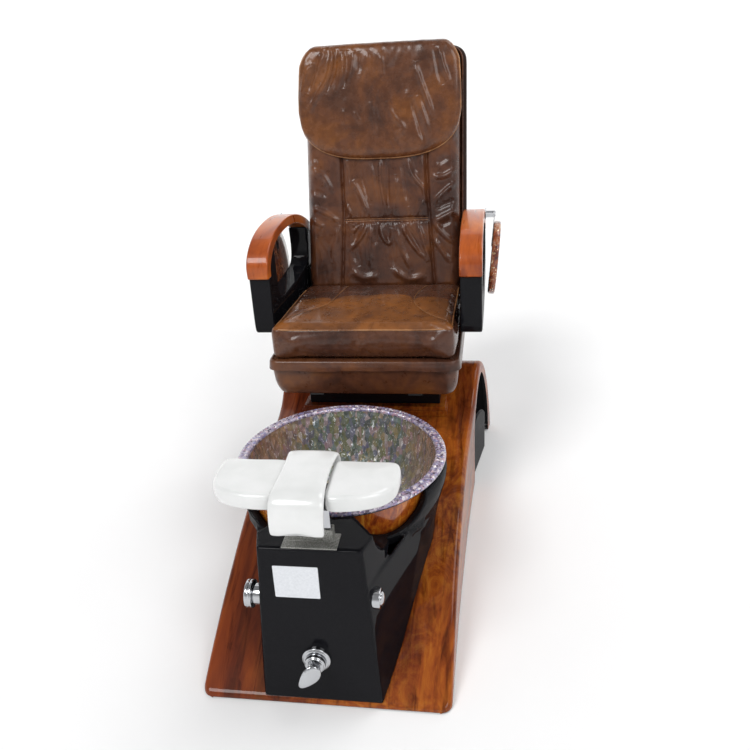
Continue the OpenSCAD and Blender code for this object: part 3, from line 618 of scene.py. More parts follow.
SLOT_OF = {m["slot"]: m for m in frame["record"]["materials"]}
for m in frame["record"]["materials"]:
    for n in m.get("nodes", []):
        if n in NODE and m["slot"] in M:
            NODE[n].data.materials.clear()
            NODE[n].data.materials.append(M[m["slot"]])
for n, o in NODE.items():
    cur = o.data.materials[0].name if o.data.materials and o.data.materials[0] else ""
    key = cur.split(".")[0]
    if key in M and o.data.materials[0] is not M[key]:
        for k in range(len(o.data.materials)):
            kk = (o.data.materials[k].name if o.data.materials[k] else key).split(".")[0]
            o.data.materials[k] = M.get(kk, M[key])


def node_mat(mat, *nodes):
    for n in nodes:
        o = NODE[n]
        if not o.data.materials:
            o.data.materials.append(mat)
        for k in range(len(o.data.materials)):
            o.data.materials[k] = mat


# ---------------------------------------------------------------- deck
def deck():
    top = catmull(np.array([[0, 12], [75, 54], [150, 91], [225, 125], [300, 154], [400, 189], [500, 216], [600, 236], [700, 250], [800, 260], [880, 266], [940, 273],
                            [990, 287], [1035, 310], [1075, 336], [1110, 354], [1140, 360], [1175, 353], [1215, 328], [1258, 284], [1300, 218], [1338, 125], [1362, 45], [1370, 4]]) / 1000, 1500)
    half = catmull(np.array([[0, 297], [300, 299], [500, 303], [700, 309], [900, 318], [1050, 328], [1150, 338], [1250, 350], [1370, 367]]) / 1000, 300)
    arch = catmull(np.array([[958, 150], [966, 205], [1000, 246], [1050, 284], [1095, 308], [1138, 318], [1170, 312], [1203, 288], [1240, 246], [1280, 180], [1308, 100], [1322, -5]]) / 1000, 400)
    ys = list(np.array([0, 0.6, 1.6, 3, 5, 8, 12, 17, 23]) / 1000) + list(np.arange(0.032, 0.955, 0.008)) + [0.9579, 0.9581, 0.9595, 0.962]
    ys += list(np.arange(0.966, 1.29, 0.006)) + list(np.arange(1.29, 1.368, 0.002)) + [1.3685, 1.3695]
    gap = 0.004
    rings = []
    for y in ys:
        z = float(np.interp(y, top[:, 0], top[:, 1]))
        if y < 0.008:
            z = gap + (z - gap) * math.sqrt(max(0.0, 1 - (1 - y / 0.008) ** 2)) + 1e-4
        w = float(np.interp(y, half[:, 0], half[:, 1]))
        R = 0.026
        if y < R:
            w -= R - math.sqrt(max(0.0, R * R - (R - y) ** 2))
        zb = gap
        if 0.958 <= y <= 1.3218:
            zb = max(gap, float(np.interp(y, arch[:, 0], arch[:, 1])))
        zb = min(zb, z - 0.0035)
        r = min(0.013, (z - zb) * 0.8)
        cr = [(w - r + r * math.cos(a), z - r + r * math.sin(a)) for a in np.linspace(0, math.pi / 2, 9)]
        side = [(w, zb + (z - r - zb) * t) for t in np.linspace(0, 1, 7)[:-1]]
        mid = [(w - r) * t for t in np.linspace(1, 0, 9)[1:-1]]
        hf = side + cr + [(m, z) for m in mid]
        ring = hf + [(0.0, z)] + [(-a, b) for a, b in reversed(hf)]
        rings.append([(a, Y0 + y, b) for a, b in ring])
    o = rings_mesh("deck_skin", rings, [M["deck_grain"], M["black_satin"]], close_ring=False)
    # the outer face must look outwards before the wall is given its thickness
    me = o.data
    up = sum((p.normal.z * p.area) for p in me.polygons)
    if up < 0:
        me.flip_normals()
    s = o.modifiers.new("s", "SOLIDIFY")
    s.thickness, s.offset, s.use_rim, s.material_offset, s.material_offset_rim = 0.010, -1.0, True, 1, 1
    s.use_even_offset = False
    bake(o)
    o.data.polygons.foreach_set("use_smooth", [True] * len(o.data.polygons))
    o.data.set_sharp_from_angle(angle=math.radians(50))
    return put(o, "base", "base_shell", slot="deck_grain")


deck()
put(copy_node("plinth", "seat_plinth", [M["deck_grain"]], 0.004), "base", "seat_plinth", slot="deck_grain")
put(copy_node("seat_mount_block", "mount_box", [M["black_gloss"]], 0.005), "base", "mount_box", slot="black_gloss")


def pods():
    pts = outline(np.array([[966, 2], [966, 130], [972, 168], [992, 194], [1030, 212], [1080, 210], [1130, 188], [1170, 150], [1192, 100], [1198, 50], [1198, 2]]) / 1000, 0.008)
    for s, nm in ((-1, "left"), (1, "right")):
        v, n = [], len(pts)
        for yy, zz in pts:
            v.append((0.2885 * s, Y0 + yy, zz))
        for yy, zz in pts:
            w = float(np.interp(yy, [0.96, 1.04, 1.118, 1.16, 1.205], [0.311, 0.330, 0.347, 0.352, 0.350]))
            v.append((w * s, Y0 + yy, zz))
        f = [tuple(range(n)), tuple(range(n, 2 * n))] + [(i, (i + 1) % n, n + (i + 1) % n, n + i) for i in range(n)]
        o = bevel(new_obj("side_pod_" + nm, v, f, [M["black_gloss"]]), 0.007, 4, 30)
        put(o, "base", *(["side_pods"] if s < 0 else []), slot="black_gloss")


pods()


# ---------------------------------------------------------------- pedestal
def pedestal():
    me = NODE["pedestal_shell"].data.copy()
    me.materials.clear()
    me.materials.append(M["black_gloss"])
    o = bpy.data.objects.new("pedestal_skin", me)
    SC.collection.objects.link(o)
    # the moulding runs on unbroken under each scoop
    by = 0.410
    nphi, nr = 46, 16
    bm = bmesh.new()
    bm.from_mesh(me)
    for sx in (-1, 1):
        top, bot = [], []
        for a in np.linspace(math.radians(12), math.radians(60), nphi):
            rmax = max(min(0.1405 / math.sin(a), 0.318), 0.2555)
            for t in np.linspace(0, 1, nr):
                z = 0.36
                for _ in range(3):
                    r0 = float(np.interp(z, [0.19, 0.26, 0.32, 0.35, 0.385, 0.40], [0.220, 0.2275, 0.232, 0.239, 0.247, 0.252])) + 0.0006
                    r = r0 + (max(rmax, r0 + 0.004) - r0) * t
                    d = r * math.sin(a - math.radians(38))
                    z = min(0.436 - math.sqrt(max(0.098 ** 2 - d * d, 0.0)), 0.412)
                p = (sx * r * math.sin(a), Y0 + by - r * math.cos(a))
                top.append(bm.verts.new((p[0], p[1], z)))
                bot.append(bm.verts.new((p[0], p[1], 0.312)))
        i_ = lambda i, j: i * nr + j
        fs = []
        for i in range(nphi - 1):
            for j in range(nr - 1):
                q = (i_(i, j), i_(i, j + 1), i_(i + 1, j + 1), i_(i + 1, j))
                fs.append([top[k] for k in q])
                fs.append([bot[k] for k in reversed(q)])
        rim_ = [i_(0, j) for j in range(nr)] + [i_(i, nr - 1) for i in range(1, nphi)] + [i_(nphi - 1, j) for j in range(nr - 2, -1, -1)] + [i_(i, 0) for i in range(nphi - 2, 0, -1)]
        for k in range(len(rim_)):
            a_, b_ = rim_[k], rim_[(k + 1) % len(rim_)]
            fs.append([top[b_], top[a_], bot[a_], bot[b_]])
        new = [bm.faces.new(f if sx > 0 else f[::-1]) for f in fs]
        bmesh.ops.recalc_face_normals(bm, faces=new)
    bm.to_mesh(me)
    bm.free()
    r = o.modifiers.new("r", "REMESH")
    r.mode, r.voxel_size, r.adaptivity = "VOXEL", 0.0034, 0.0
    bake(o)
    me = o.data
    n = len(me.vertices)
    co = np.zeros(n * 3)
    me.vertices.foreach_get("co", co)
    co = co.reshape(-1, 3)
    e = np.zeros(len(me.edges) * 2, dtype=np.int32)
    me.edges.foreach_get("vertices", e)
    e = e.reshape(-1, 2)
    deg = np.bincount(e.ravel(), minlength=n).astype(float)[:, None]
    orig = co.copy()
    for it in range(26):
        acc = np.zeros_like(co)
        np.add.at(acc, e[:, 0], co[e[:, 1]])
        np.add.at(acc, e[:, 1], co[e[:, 0]])
        lap = acc / deg - co
        co = co + (0.55 if it % 2 == 0 else -0.50) * lap
    for it in range(3):
        acc = np.zeros_like(co)
        np.add.at(acc, e[:, 0], co[e[:, 1]])
        np.add.at(acc, e[:, 1], co[e[:, 0]])
        co = co + 0.5 * (acc / deg - co)
    # the front face is a true plane away from its rounded edges
    z = co[:, 2]
    yf = Y0 + 0.002 + (z - 0.006) * (0.018 / 0.323)
    d = co[:, 1] - yf
    m = (np.abs(d) < 0.0016) & (z > 0.02) & (z < 0.32)
    co[m, 1] = yf[m]
    me.vertices.foreach_set("co", co.ravel())
    me.update()
    me.polygons.foreach_set("use_smooth", [True] * len(me.polygons))
    return put(o, "base", "pedestal_shell", slot="black_gloss")


pedestal()


# ---------------------------------------------------------------- bowl
def bowl():
    lo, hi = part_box("bowl")
    cx, cy, rim = 0.0, (lo.y + hi.y) / 2, hi.z
    out = catmull(np.array([[6, -195], [80, -195], [150, -195], [178, -188], [200, -172], [216, -150], [228, -120], [237, -85], [244, -50], [250, -17]]) / 1000, 46)
    lip = np.array([[256, -16.4], [262, -15.2], [266, -12.5], [268, -8.5], [267.4, -4.6], [264.6, -1.6], [261, -0.6], [257, -1.6], [254, -1.9], [250.6, -0.9], [247.5, -0.2], [244.5, -0.6], [242, -2.4], [240.6, -5.5], [240.4, -9]]) / 1000
    inn = catmull(np.array([[240, -13], [238, -20], [234, -50], [227, -85], [218, -120], [206, -148], [191, -167], [172, -180], [148, -184.6], [80, -185], [6, -185]]) / 1000, 84)
    prof = np.vstack([out, lip, inn])
    zone = [0] * len(out) + [1] * len(lip) + [2] * len(inn)
    n = 720
    th = np.linspace(0, 2 * math.pi, n, endpoint=False)
    rings = []
    for k, (r, h) in enumerate(prof):
        rr, hh = np.full(n, r), np.full(n, h)
        if zone[k] == 1:
            t = (k - len(out)) / (len(lip) - 1)
            beads = 0.5 + 0.5 * np.cos(th * 150 + (0 if t < 0.55 else math.pi))
            hh = hh - 0.0011 * beads * math.sin(math.pi * min(max(t, 0.05), 0.95))
            rr = rr + 0.0005 * beads * (1 if t < 0.5 else -1) * 0
        if zone[k] == 2 and h > -0.184 and k > len(out) + len(lip) + 2:
            ham = np.array([noise.noise(Vector((math.cos(a) * r * 62, math.sin(a) * r * 62, h * 40))) + 0.6 * noise.noise(Vector((math.cos(a) * r * 140, math.sin(a) * r * 140, h * 80))) for a in th])
            rr = rr + 0.0017 * ham - 0.0006
        if zone[k] == 0 and r > 0.16:
            ham = np.array([noise.noise(Vector((math.cos(a) * r * 26, math.sin(a) * r * 26, h * 12 + 5))) for a in th])
            rr = rr - 0.0007 * (1 + ham) * 0.5
        rings.append(np.stack([cx + rr * np.cos(th), cy + rr * np.sin(th), rim + hh], 1))
    a, b = len(out), len(out) + len(lip)
    o = rings_mesh("glass_bowl", rings, [M["glass_out"], M["glass_rim"], M["glass_in"]], cap0=True, cap1=True,
                   idx=lambda i, j: 0 if i < a - 1 else (1 if i < b - 1 else 2))
    return put(o, "base", "bowl", slot="bowl_glass")


bowl()


# ---------------------------------------------------------------- footrest
def pillow(name, pts, z0, z1, mats, rt=0.012, rb=0.006, crown=0.0015, step=0.006):
    """A padded block on a plan outline: soft upper edge, smaller lower radius, faintly crowned top."""
    p = outline(pts, step, 200)
    n = len(p)
    t = np.roll(p, -1, 0) - np.roll(p, 1, 0)
    t /= np.linalg.norm(t, axis=1)[:, None]
    area = 0.5 * np.sum(p[:, 0] * np.roll(p[:, 1], -1) - np.roll(p[:, 0], -1) * p[:, 1])
    nor = np.stack([-t[:, 1], t[:, 0]], 1) * (1 if area > 0 else -1)
    c = p.mean(0)
    prof = [(rb * (1 - math.sin(a)), z0 + rb * (1 - math.cos(a))) for a in np.linspace(0, math.pi / 2, 5)]
    prof += [(-0.0006, z0 + (z1 - z0) * 0.45)]
    prof += [(rt * (1 - math.cos(a)), z1 - rt + rt * math.sin(a)) for a in np.linspace(0, math.pi / 2 * 0.96, 8)]
    rings = [np.column_stack([p + nor * i, np.full(n, z)]) for i, z in prof]
    last = rings[-1][:, :2]
    for s in (0.8, 0.55, 0.3, 0.1):
        q = c + (last - c) * s
        rings.append(np.column_stack([q, np.full(n, z1 + crown * (1 - s * s))]))
    o = rings_mesh(name, rings, mats, cap0=True, cap1=True)
    sub = o.modifiers.new("s", "SUBSURF")
    sub.levels = sub.render_levels = 1
    bake(o)
    o.data.polygons.foreach_set("use_smooth", [True] * len(o.data.polygons))
    return o


def footrest():
    lo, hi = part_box("footrest_bar")
    z0, z1 = lo.z, hi.z
    mm = lambda L: np.array([[a / 1000, Y(b)] for a, b in L])
    left = mm([(-210, 140), (-206, 153), (-194, 160), (-130, 160), (-68, 160), (-58, 154), (-55, 140), (-56, 80), (-58, 26), (-64, 14), (-76, 10), (-110, 10), (-150, 17), (-184, 34), (-204, 62), (-211.4, 100)])
    right = mm([(44, 154), (54, 160), (120, 160), (170, 160), (184, 155), (190, 142), (191.6, 100), (186, 66), (166, 38), (126, 19), (92, 12), (66, 10), (52, 14), (46, 26), (43, 80), (42, 140)])
    a = pillow("footrest_wing_left", left, z0, z1 - 0.0012, [M["white_vinyl"]])
    b = pillow("footrest_wing_right", right, z0, z1 - 0.0012, [M["white_vinyl"]])
    put(a, "footrest", "footrest_bar", slot="white_vinyl")
    put(b, "footrest", slot="white_vinyl")
    # saddle pad: over the top, down the front, its lower edge turned up in two soft corners
    lo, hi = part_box("footrest_pad")
    top = hi.z - 0.0062
    path = catmull(np.array([[Y(178), top - 0.030], [Y(179), top - 0.014], [Y(172), top - 0.001], [Y(150), top + 0.0035], [Y(90), top + 0.0055], [Y(30), top + 0.003], [Y(6), top - 0.002],
                             [Y(-9), top - 0.013], [Y(-17.5), top - 0.034], [Y(-20.5), top - 0.056], [Y(-18), top - 0.074]]), 90)
    tan = np.gradient(path, axis=0)
    tan /= np.linalg.norm(tan, axis=1)[:, None]
    nor = np.stack([tan[:, 1], -tan[:, 0]], 1)
    s = np.linspace(0, 1, len(path))
    nv = 44
    rings = []
    for i in range(len(path)):
        e = min(s[i], 1 - s[i])
        endr = math.sqrt(max(0.0, 1 - (1 - min(e / 0.035, 1)) ** 2))
        w = 0.0575 - 0.0045 * math.sin(math.pi * min(1, max(0, (s[i] - 0.05) / 0.72))) + 0.0008 * math.cos(s[i] * 9)
        w = w * (0.90 + 0.10 * endr) if endr < 1 else w
        tk = 0.0075 * (0.15 + 0.85 * endr)
        ring = []
        for k in range(nv):
            a = 2 * math.pi * k / nv
            ca, sa = math.cos(a), math.sin(a)
            ex = 0.32
            x = w * math.copysign(abs(ca) ** ex, ca)
            t = tk * math.copysign(abs(sa) ** 0.75, sa)
            if sa > 0:
                t *= 1 + 0.22 * math.cos(x / w * math.pi / 2)
            y, z = path[i] + nor[i] * t
            if s[i] > 0.78:
                g = (s[i] - 0.78) / 0.22
                u = abs(x) / w
                drop = -0.0075 * g * (u ** 3) + 0.0045 * g * math.cos(u * 5.2) * (1 - u * 0.3)
                z += drop
                if sa > 0:
                    y -= 0.0035 * g * u ** 3
            ring.append((-0.006 + x, y, z))
        rings.append(ring)
    o = rings_mesh("footrest_saddle", rings, [M["white_vinyl"]], cap0=True, cap1=True)
    sub = o.modifiers.new("s", "SUBSURF")
    sub.levels = sub.render_levels = 1
    bake(o)
    o.data.polygons.foreach_set("use_smooth", [True] * len(o.data.polygons))
    put(o, "footrest", "footrest_pad", slot="white_vinyl")


footrest()
put(copy_node("bracket_plate", "footrest_bracket", [M["plate"]], 0.0012, 2), "base", "footrest_bracket", slot="steel")
node_mat(M["chrome"], "footrest_post")


# ---------------------------------------------------------------- taps and knobs
def taps():
    lo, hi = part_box("mixer_escutcheon")
    mx, mz = (lo.x + hi.x) / 2, (lo.z + hi.z) / 2
    o = (mx, Y0 + 0.008, mz)
    esc = lathe("mixer_flange", [(a / 1000, b / 1000) for a, b in [(15.5, -4.0), (33, -4.0), (33, 4.6), (32.5, 5.8), (31.2, 6.3), (30.2, 6.8), (29.4, 8.2), (27.8, 8.9), (25.2, 9.0), (15.5, 9.0)]], o, (0, -1, 0), [M["chrome"]], 96)
    put(sharp(esc, 60), "base", "mixer_escutcheon", slot="chrome")
    hub = lathe("mixer_collar", [(a / 1000, b / 1000) for a, b in [(0, 9.6), (22.6, 9.6), (23.8, 10.4), (24, 12), (24, 19.6), (23.4, 21.2), (22, 21.9), (21.2, 22.2), (21, 23.4), (20.4, 24.3), (19, 24.6), (0, 24.6)]], o, (0, -1, 0), [M["chrome"]], 96)
    put(sharp(hub, 60), BODY["mixer_hub"], "mixer_hub", slot="chrome")
    # two cheeks and a pin carry the lever
    R = Matrix.Translation(Vector(o)) @ Matrix.Rotation(math.radians(45), 4, "Y")
    for s in (-1, 1):
        ch = outline(np.array([[-22, -5.5], [-30.5, -5.5], [-35, -3.4], [-36, 0], [-35, 3.4], [-30.5, 5.5], [-22, 5.5]]) / 1000, 0.001, 60)
        c = prism("mixer_cheek_%s" % ("a" if s < 0 else "b"), ch, 0.0084 * s, 0.0135 * s, [M["chrome"]], 0.0007, 2)
        c.data.transform(R)
        put(c, BODY["mixer_hub"], slot="chrome")
    # teardrop lever: a rounded neck opening to a broad blade and closing to a soft point
    rings = []
    zs = np.concatenate([19.0 - 3 * (1 - np.cos(np.linspace(0, math.pi / 2, 7))), np.linspace(15, -36, 34), -37 - 4.2 * np.sin(np.linspace(0.1, math.pi / 2, 8))])
    prof_z = [-41.3, -40, -37, -33, -25, -15, -6, 2, 9, 14, 17.5, 19.01]
    prof_w = [0.3, 3.4, 6.6, 9.3, 13.6, 17.6, 19.6, 19.2, 16.6, 12.6, 7.6, 0.3]
    prof_t = [0.3, 2.6, 4.0, 4.6, 5.4, 6.0, 6.4, 6.4, 6.0, 5.0, 3.6, 0.3]
    prof_y = [-58, -58.2, -58.0, -57.3, -54.8, -51.4, -48.6, -46.0, -43.6, -42.2, -41.4, -41.2]
    zz = np.linspace(19.0, -41.3, 64)
    for z in zz:
        w, t, yc = (float(np.interp(z, prof_z, q)) for q in (prof_w, prof_t, prof_y))
        ring = []
        for a in np.linspace(0, 2 * math.pi, 40, endpoint=False):
            ca, sa = math.cos(a), math.sin(a)
            x = w * math.copysign(abs(ca) ** 0.86, ca)
            y = yc + t * math.copysign(abs(sa) ** 0.9, sa) * (1.0 if sa > 0 else 0.72)
            ring.append((x / 1000, y / 1000, z / 1000))
        rings.append(ring)
    lev = rings_mesh("mixer_handle", rings, [M["chrome"]], cap0=True, cap1=True)
    lev.data.transform(R)
    put(sharp(lev, 70), BODY["mixer_lever"], "mixer_lever", slot="chrome")
    nk = outline(np.array([[-30.5, -5.3], [-44, -5.8], [-46, 0], [-44, 5.8], [-30.5, 5.3], [-26, 3.2], [-25.2, 0], [-26, -3.2]]) / 1000, 0.001, 60)
    c = prism("mixer_neck", nk, -0.0079, 0.0079, [M["chrome"]], 0.0008, 2)
    c.data.transform(R)
    put(c, BODY["mixer_lever"], slot="chrome")
    pin = lathe("mixer_pin", [(0, -0.0145), (0.0026, -0.0145), (0.00295, -0.0139), (0.00295, 0.0139), (0.0026, 0.0145), (0, 0.0145)], (0, -0.0305, 0), (1, 0, 0), [M["steel"]], 24)
    pin.data.transform(R)
    put(sharp(pin, 60), BODY["mixer_lever"], slot="steel")

    lo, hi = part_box("drain_knob")
    ky, kz = (lo.y + hi.y) / 2, (lo.z + hi.z) / 2
    x0 = lo.x
    kn = lathe("drain_dial", [(a / 1000, b / 1000) for a, b in [(0, 1.2), (14, 1.0), (26, 0.3), (29.5, 0.0), (31.2, 0.7), (32, 2.2), (32, 8.0), (31.5, 8.5), (31.5, 9.3), (32, 9.8), (32, 14.6), (31.4, 15.9), (30, 16.5), (0, 16.5)]], (x0, ky, kz), (1, 0, 0), [M["chrome"]], 96)
    put(sharp(kn, 50), BODY["drain_knob"], "drain_knob", slot="chrome")
    st = lathe("drain_dial_stem", [(0, 0.016), (0.008, 0.016), (0.008, 0.0540), (0, 0.0540)], (x0, ky, kz), (1, 0, 0), [M["steel"]], 32)
    put(sharp(st, 50), BODY["drain_knob"], slot="steel")
    lo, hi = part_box("knob_bezels")
    bl = lathe("drain_bezel", [(0.0082, 0.0), (0.0222, 0.0), (0.0236, 0.0008), (0.024, 0.0022), (0.024, 0.021), (0.0082, 0.021)], (lo.x, ky, kz), (1, 0, 0), [M["chrome"]], 80)
    put(sharp(bl, 50), "base", "knob_bezels", slot="chrome")
    jl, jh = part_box("jet_button")
    jy, jz = (jl.y + jh.y) / 2, (jl.z + jh.z) / 2
    jb = lathe("jet_bezel", [(0.0172, 0.0), (0.0226, 0.0), (0.0238, -0.0009), (0.024, -0.0022), (0.024, -0.024), (0.0172, -0.024)], (hi.x, jy, jz), (1, 0, 0), [M["chrome"]], 80)
    put(sharp(jb, 50), "base", slot="chrome")
    jd = lathe("jet_dome", [(a / 1000, (b + 28) / 1000) for a, b in [(0, 0), (16.5, 0), (16.5, 4.6), (16.1, 6.2), (14.6, 8.0), (12.2, 9.6), (9.2, 10.8), (6, 11.5), (3, 11.9), (0, 12.0)]], (jl.x, jy, jz), (1, 0, 0), [M["chrome"]], 80)
    put(sharp(jd, 50), BODY["jet_button"], "jet_button", slot="chrome")
    js = lathe("jet_stem", [(0, 0.0), (0.008, 0.0), (0.008, 0.0285), (0, 0.0285)], (jl.x, jy, jz), (1, 0, 0), [M["steel"]], 32)
    put(sharp(js, 50), BODY["jet_button"], slot="steel")


taps()


def card():
    lo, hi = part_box("label_card")
    cx, cz = (lo.x + hi.x) / 2, (lo.z + hi.z) / 2
    w, h = (hi.x - lo.x) / 2, (hi.z - lo.z) / 2
    c = 0.0016
    base = [(-w + c, -h), (w - c, -h), (w, -h + c), (w, h - c), (w - c, h), (-w + c, h), (-w, h - c), (-w, -h + c)]
    t = (hi.y - lo.y)
    k = math.tan(math.radians(2.66))
    yf = lambda z: lo.y + (z + h) * k * 0.985
    front = [(cx + a, yf(b) + 0.0001, cz + b) for a, b in base]
    back = [(cx + a, yf(b) + 0.0009, cz + b) for a, b in base]
    n = len(base)
    f = [tuple(range(n)), tuple(range(n, 2 * n))] + [(i, (i + 1) % n, n + (i + 1) % n, n + i) for i in range(n)]
    o = new_obj("blank_card", front + back, f, [M["card"]], smooth=False)
    bevel(o, 0.0002, 2, 35)
    put(o, "base", "label_card", slot="card")


card()


# ---------------------------------------------------------------- armrests
CAP_OUT = [[886, 745], [884, 779], [893, 800], [912, 820], [938, 836], [970, 849], [1025, 861], [1110, 866], [1205, 861], [1304, 842], [1400, 808], [1470, 772], [1502, 748]]
CAP_IN = [[1488, 724], [1455, 744], [1390, 778], [1296, 812], [1202, 831], [1110, 836], [1030, 831], [984, 819], [956, 805], [932, 786], [922, 772], [918, 745]]
SIDE_U = [[896, 580], [902, 570], [925, 562], [1000, 546], [1150, 534], [1330, 534], [1420, 540], [1478, 562], [1504, 600], [1512, 660], [1502, 722], [1488, 723.4],
          [1455, 743.4], [1399, 772.4], [1402, 700], [1390, 664], [1360, 646], [1300, 640], [1100, 640], [1040, 644], [1002, 656], [986, 680], [982, 720], [984, 818.3],
          [956, 804.4], [932, 785.4], [922, 771.6], [918.6, 744.6], [896, 744.6]]


def arms():
    fl = lambda L: np.array([[Y(a), b / 1000] for a, b in L])
    for s, nm in ((-1, "left"), (1, "right")):
        lo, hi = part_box("arm_cap_" + nm)
        x0, x1 = (lo.x, hi.x)
        cap = prism("armrest_cap_" + nm, outline(fl(CAP_OUT + CAP_IN), 0.007, 40), x0, x1, [M["cap_grain"]], 0.0048, 4, 38)
        put(cap, "arm_" + nm, "arm_cap_" + nm, slot="cap_grain")
        lo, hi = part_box("arm_panels_" + nm)
        pan = prism("armrest_side_" + nm, outline(fl(SIDE_U), 0.008, 45), lo.x, hi.x, [M["black_gloss"]], 0.0045, 4, 38)
        put(pan, "arm_" + nm, "arm_panels_" + nm, slot="black_gloss")
        # tray disc and its strap
        tl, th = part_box("tray_" + nm)
        yc = (tl.y + th.y) / 2
        T = Matrix.Translation(Vector((0.381, yc, 0.672))) @ Matrix.Rotation(math.radians(5.3), 4, "Y")
        if s < 0:
            T = Matrix.Scale(-1, 4, Vector((1, 0, 0))) @ T
        R = (th.y - tl.y) / 2
        pr = [(0, -13.0), (60, -13.0), (R * 1000 - 9, -13.0), (R * 1000 - 3.5, -11.6), (R * 1000 - 0.6, -8), (R * 1000, -3), (R * 1000, 5), (R * 1000 - 0.8, 8.6), (R * 1000 - 3.4, 10.6), (R * 1000 - 7, 11), (R * 1000 - 10.6, 10.4), (R * 1000 - 12.8, 8), (R * 1000 - 14, 3), (R * 1000 - 15.4, -1.6), (R * 1000 - 19, -4.2), (R * 1000 - 26, -5), (50, -5.2), (0, -5.2)]
        d = lathe("tray_disc_" + nm, [(a / 1000, b / 1000) for a, b in pr], (0, 0, 0), (1, 0, 0), [M["tray_resin"]], 128)
        d.data.transform(T)
        if s < 0:
            d.data.flip_normals()
        put(sharp(d, 60), "tray_" + nm, "tray_" + nm, slot="tray_resin")
        st = [[-12 / 1000 * 0 + a, b] for a, b in ((0, 0),)]
        pts = outline(np.array([[-11.5, 41], [11.5, 41], [11.5, 146], [8, 151.5], [-8, 151.5], [-11.5, 146]]) / 1000, 0.01, 20)
        b = prism("tray_strap_" + nm, pts, -0.0150, -0.0122, [M["chrome"]], 0.0009, 2)
        b.data.transform(T)
        if s < 0:
            b.data.flip_normals()
        put(b, "tray_" + nm, slot="chrome")
        hx, hz = 0.379, 0.822
        br = lathe("tray_barrel_" + nm, [(a / 1000, c / 1000) for a, c in [(0, -24), (2.96, -24), (2.96, -11.6), (5.0, -11.6), (5.6, -11), (5.6, 11), (5.0, 11.6), (2.96, 11.6), (2.96, 24), (0, 24)]], (s * hx, yc, hz), (0, 1, 0), [M["chrome"]], 32)
        put(sharp(br, 50), "tray_" + nm, slot="chrome")
        put(copy_node("tray_bracket_" + nm, "tray_hinge_" + nm, [M["chrome"]], 0.0007, 2), BODY["tray_hinge_" + nm], "tray_hinge_" + nm, slot="chrome")


arms()

# ---------------------------------------------------------------- seat
def plan_path(w, ya, yb, r, n_arc=9, open_rear=None):
    """Plan outline from the rear right, round the front, to the rear left."""
    pts = []
    if open_rear is not None:
        pts += [(x, yb) for x in np.linspace(open_rear, w - r, 3)[:-1]]
    pts += [(w - r + r * math.cos(a), yb - r + r * math.sin(a)) for a in np.linspace(math.pi / 2, 0, n_arc)]
    pts += [(w, y) for y in np.linspace(yb - r, ya + r, 42)[1:-1]]
    pts += [(w - r + r * math.cos(a), ya + r + r * math.sin(a)) for a in np.linspace(0, -math.pi / 2, n_arc)]
    pts += [(x, ya) for x in np.linspace(w - r, -w + r, 46)[1:-1]]
    pts += [(-w + r + r * math.cos(a), ya + r + r * math.sin(a)) for a in np.linspace(-math.pi / 2, -math.pi, n_arc)]
    pts += [(-w, y) for y in np.linspace(ya + r, yb - r, 42)[1:-1]]
    pts += [(-w + r + r * math.cos(a), yb - r + r * math.sin(a)) for a in np.linspace(math.pi, math.pi / 2, n_arc)]
    if open_rear is not None:
        pts += [(-x, yb) for x in np.linspace(w - r, open_rear, 3)[1:]]
    return np.array(pts)


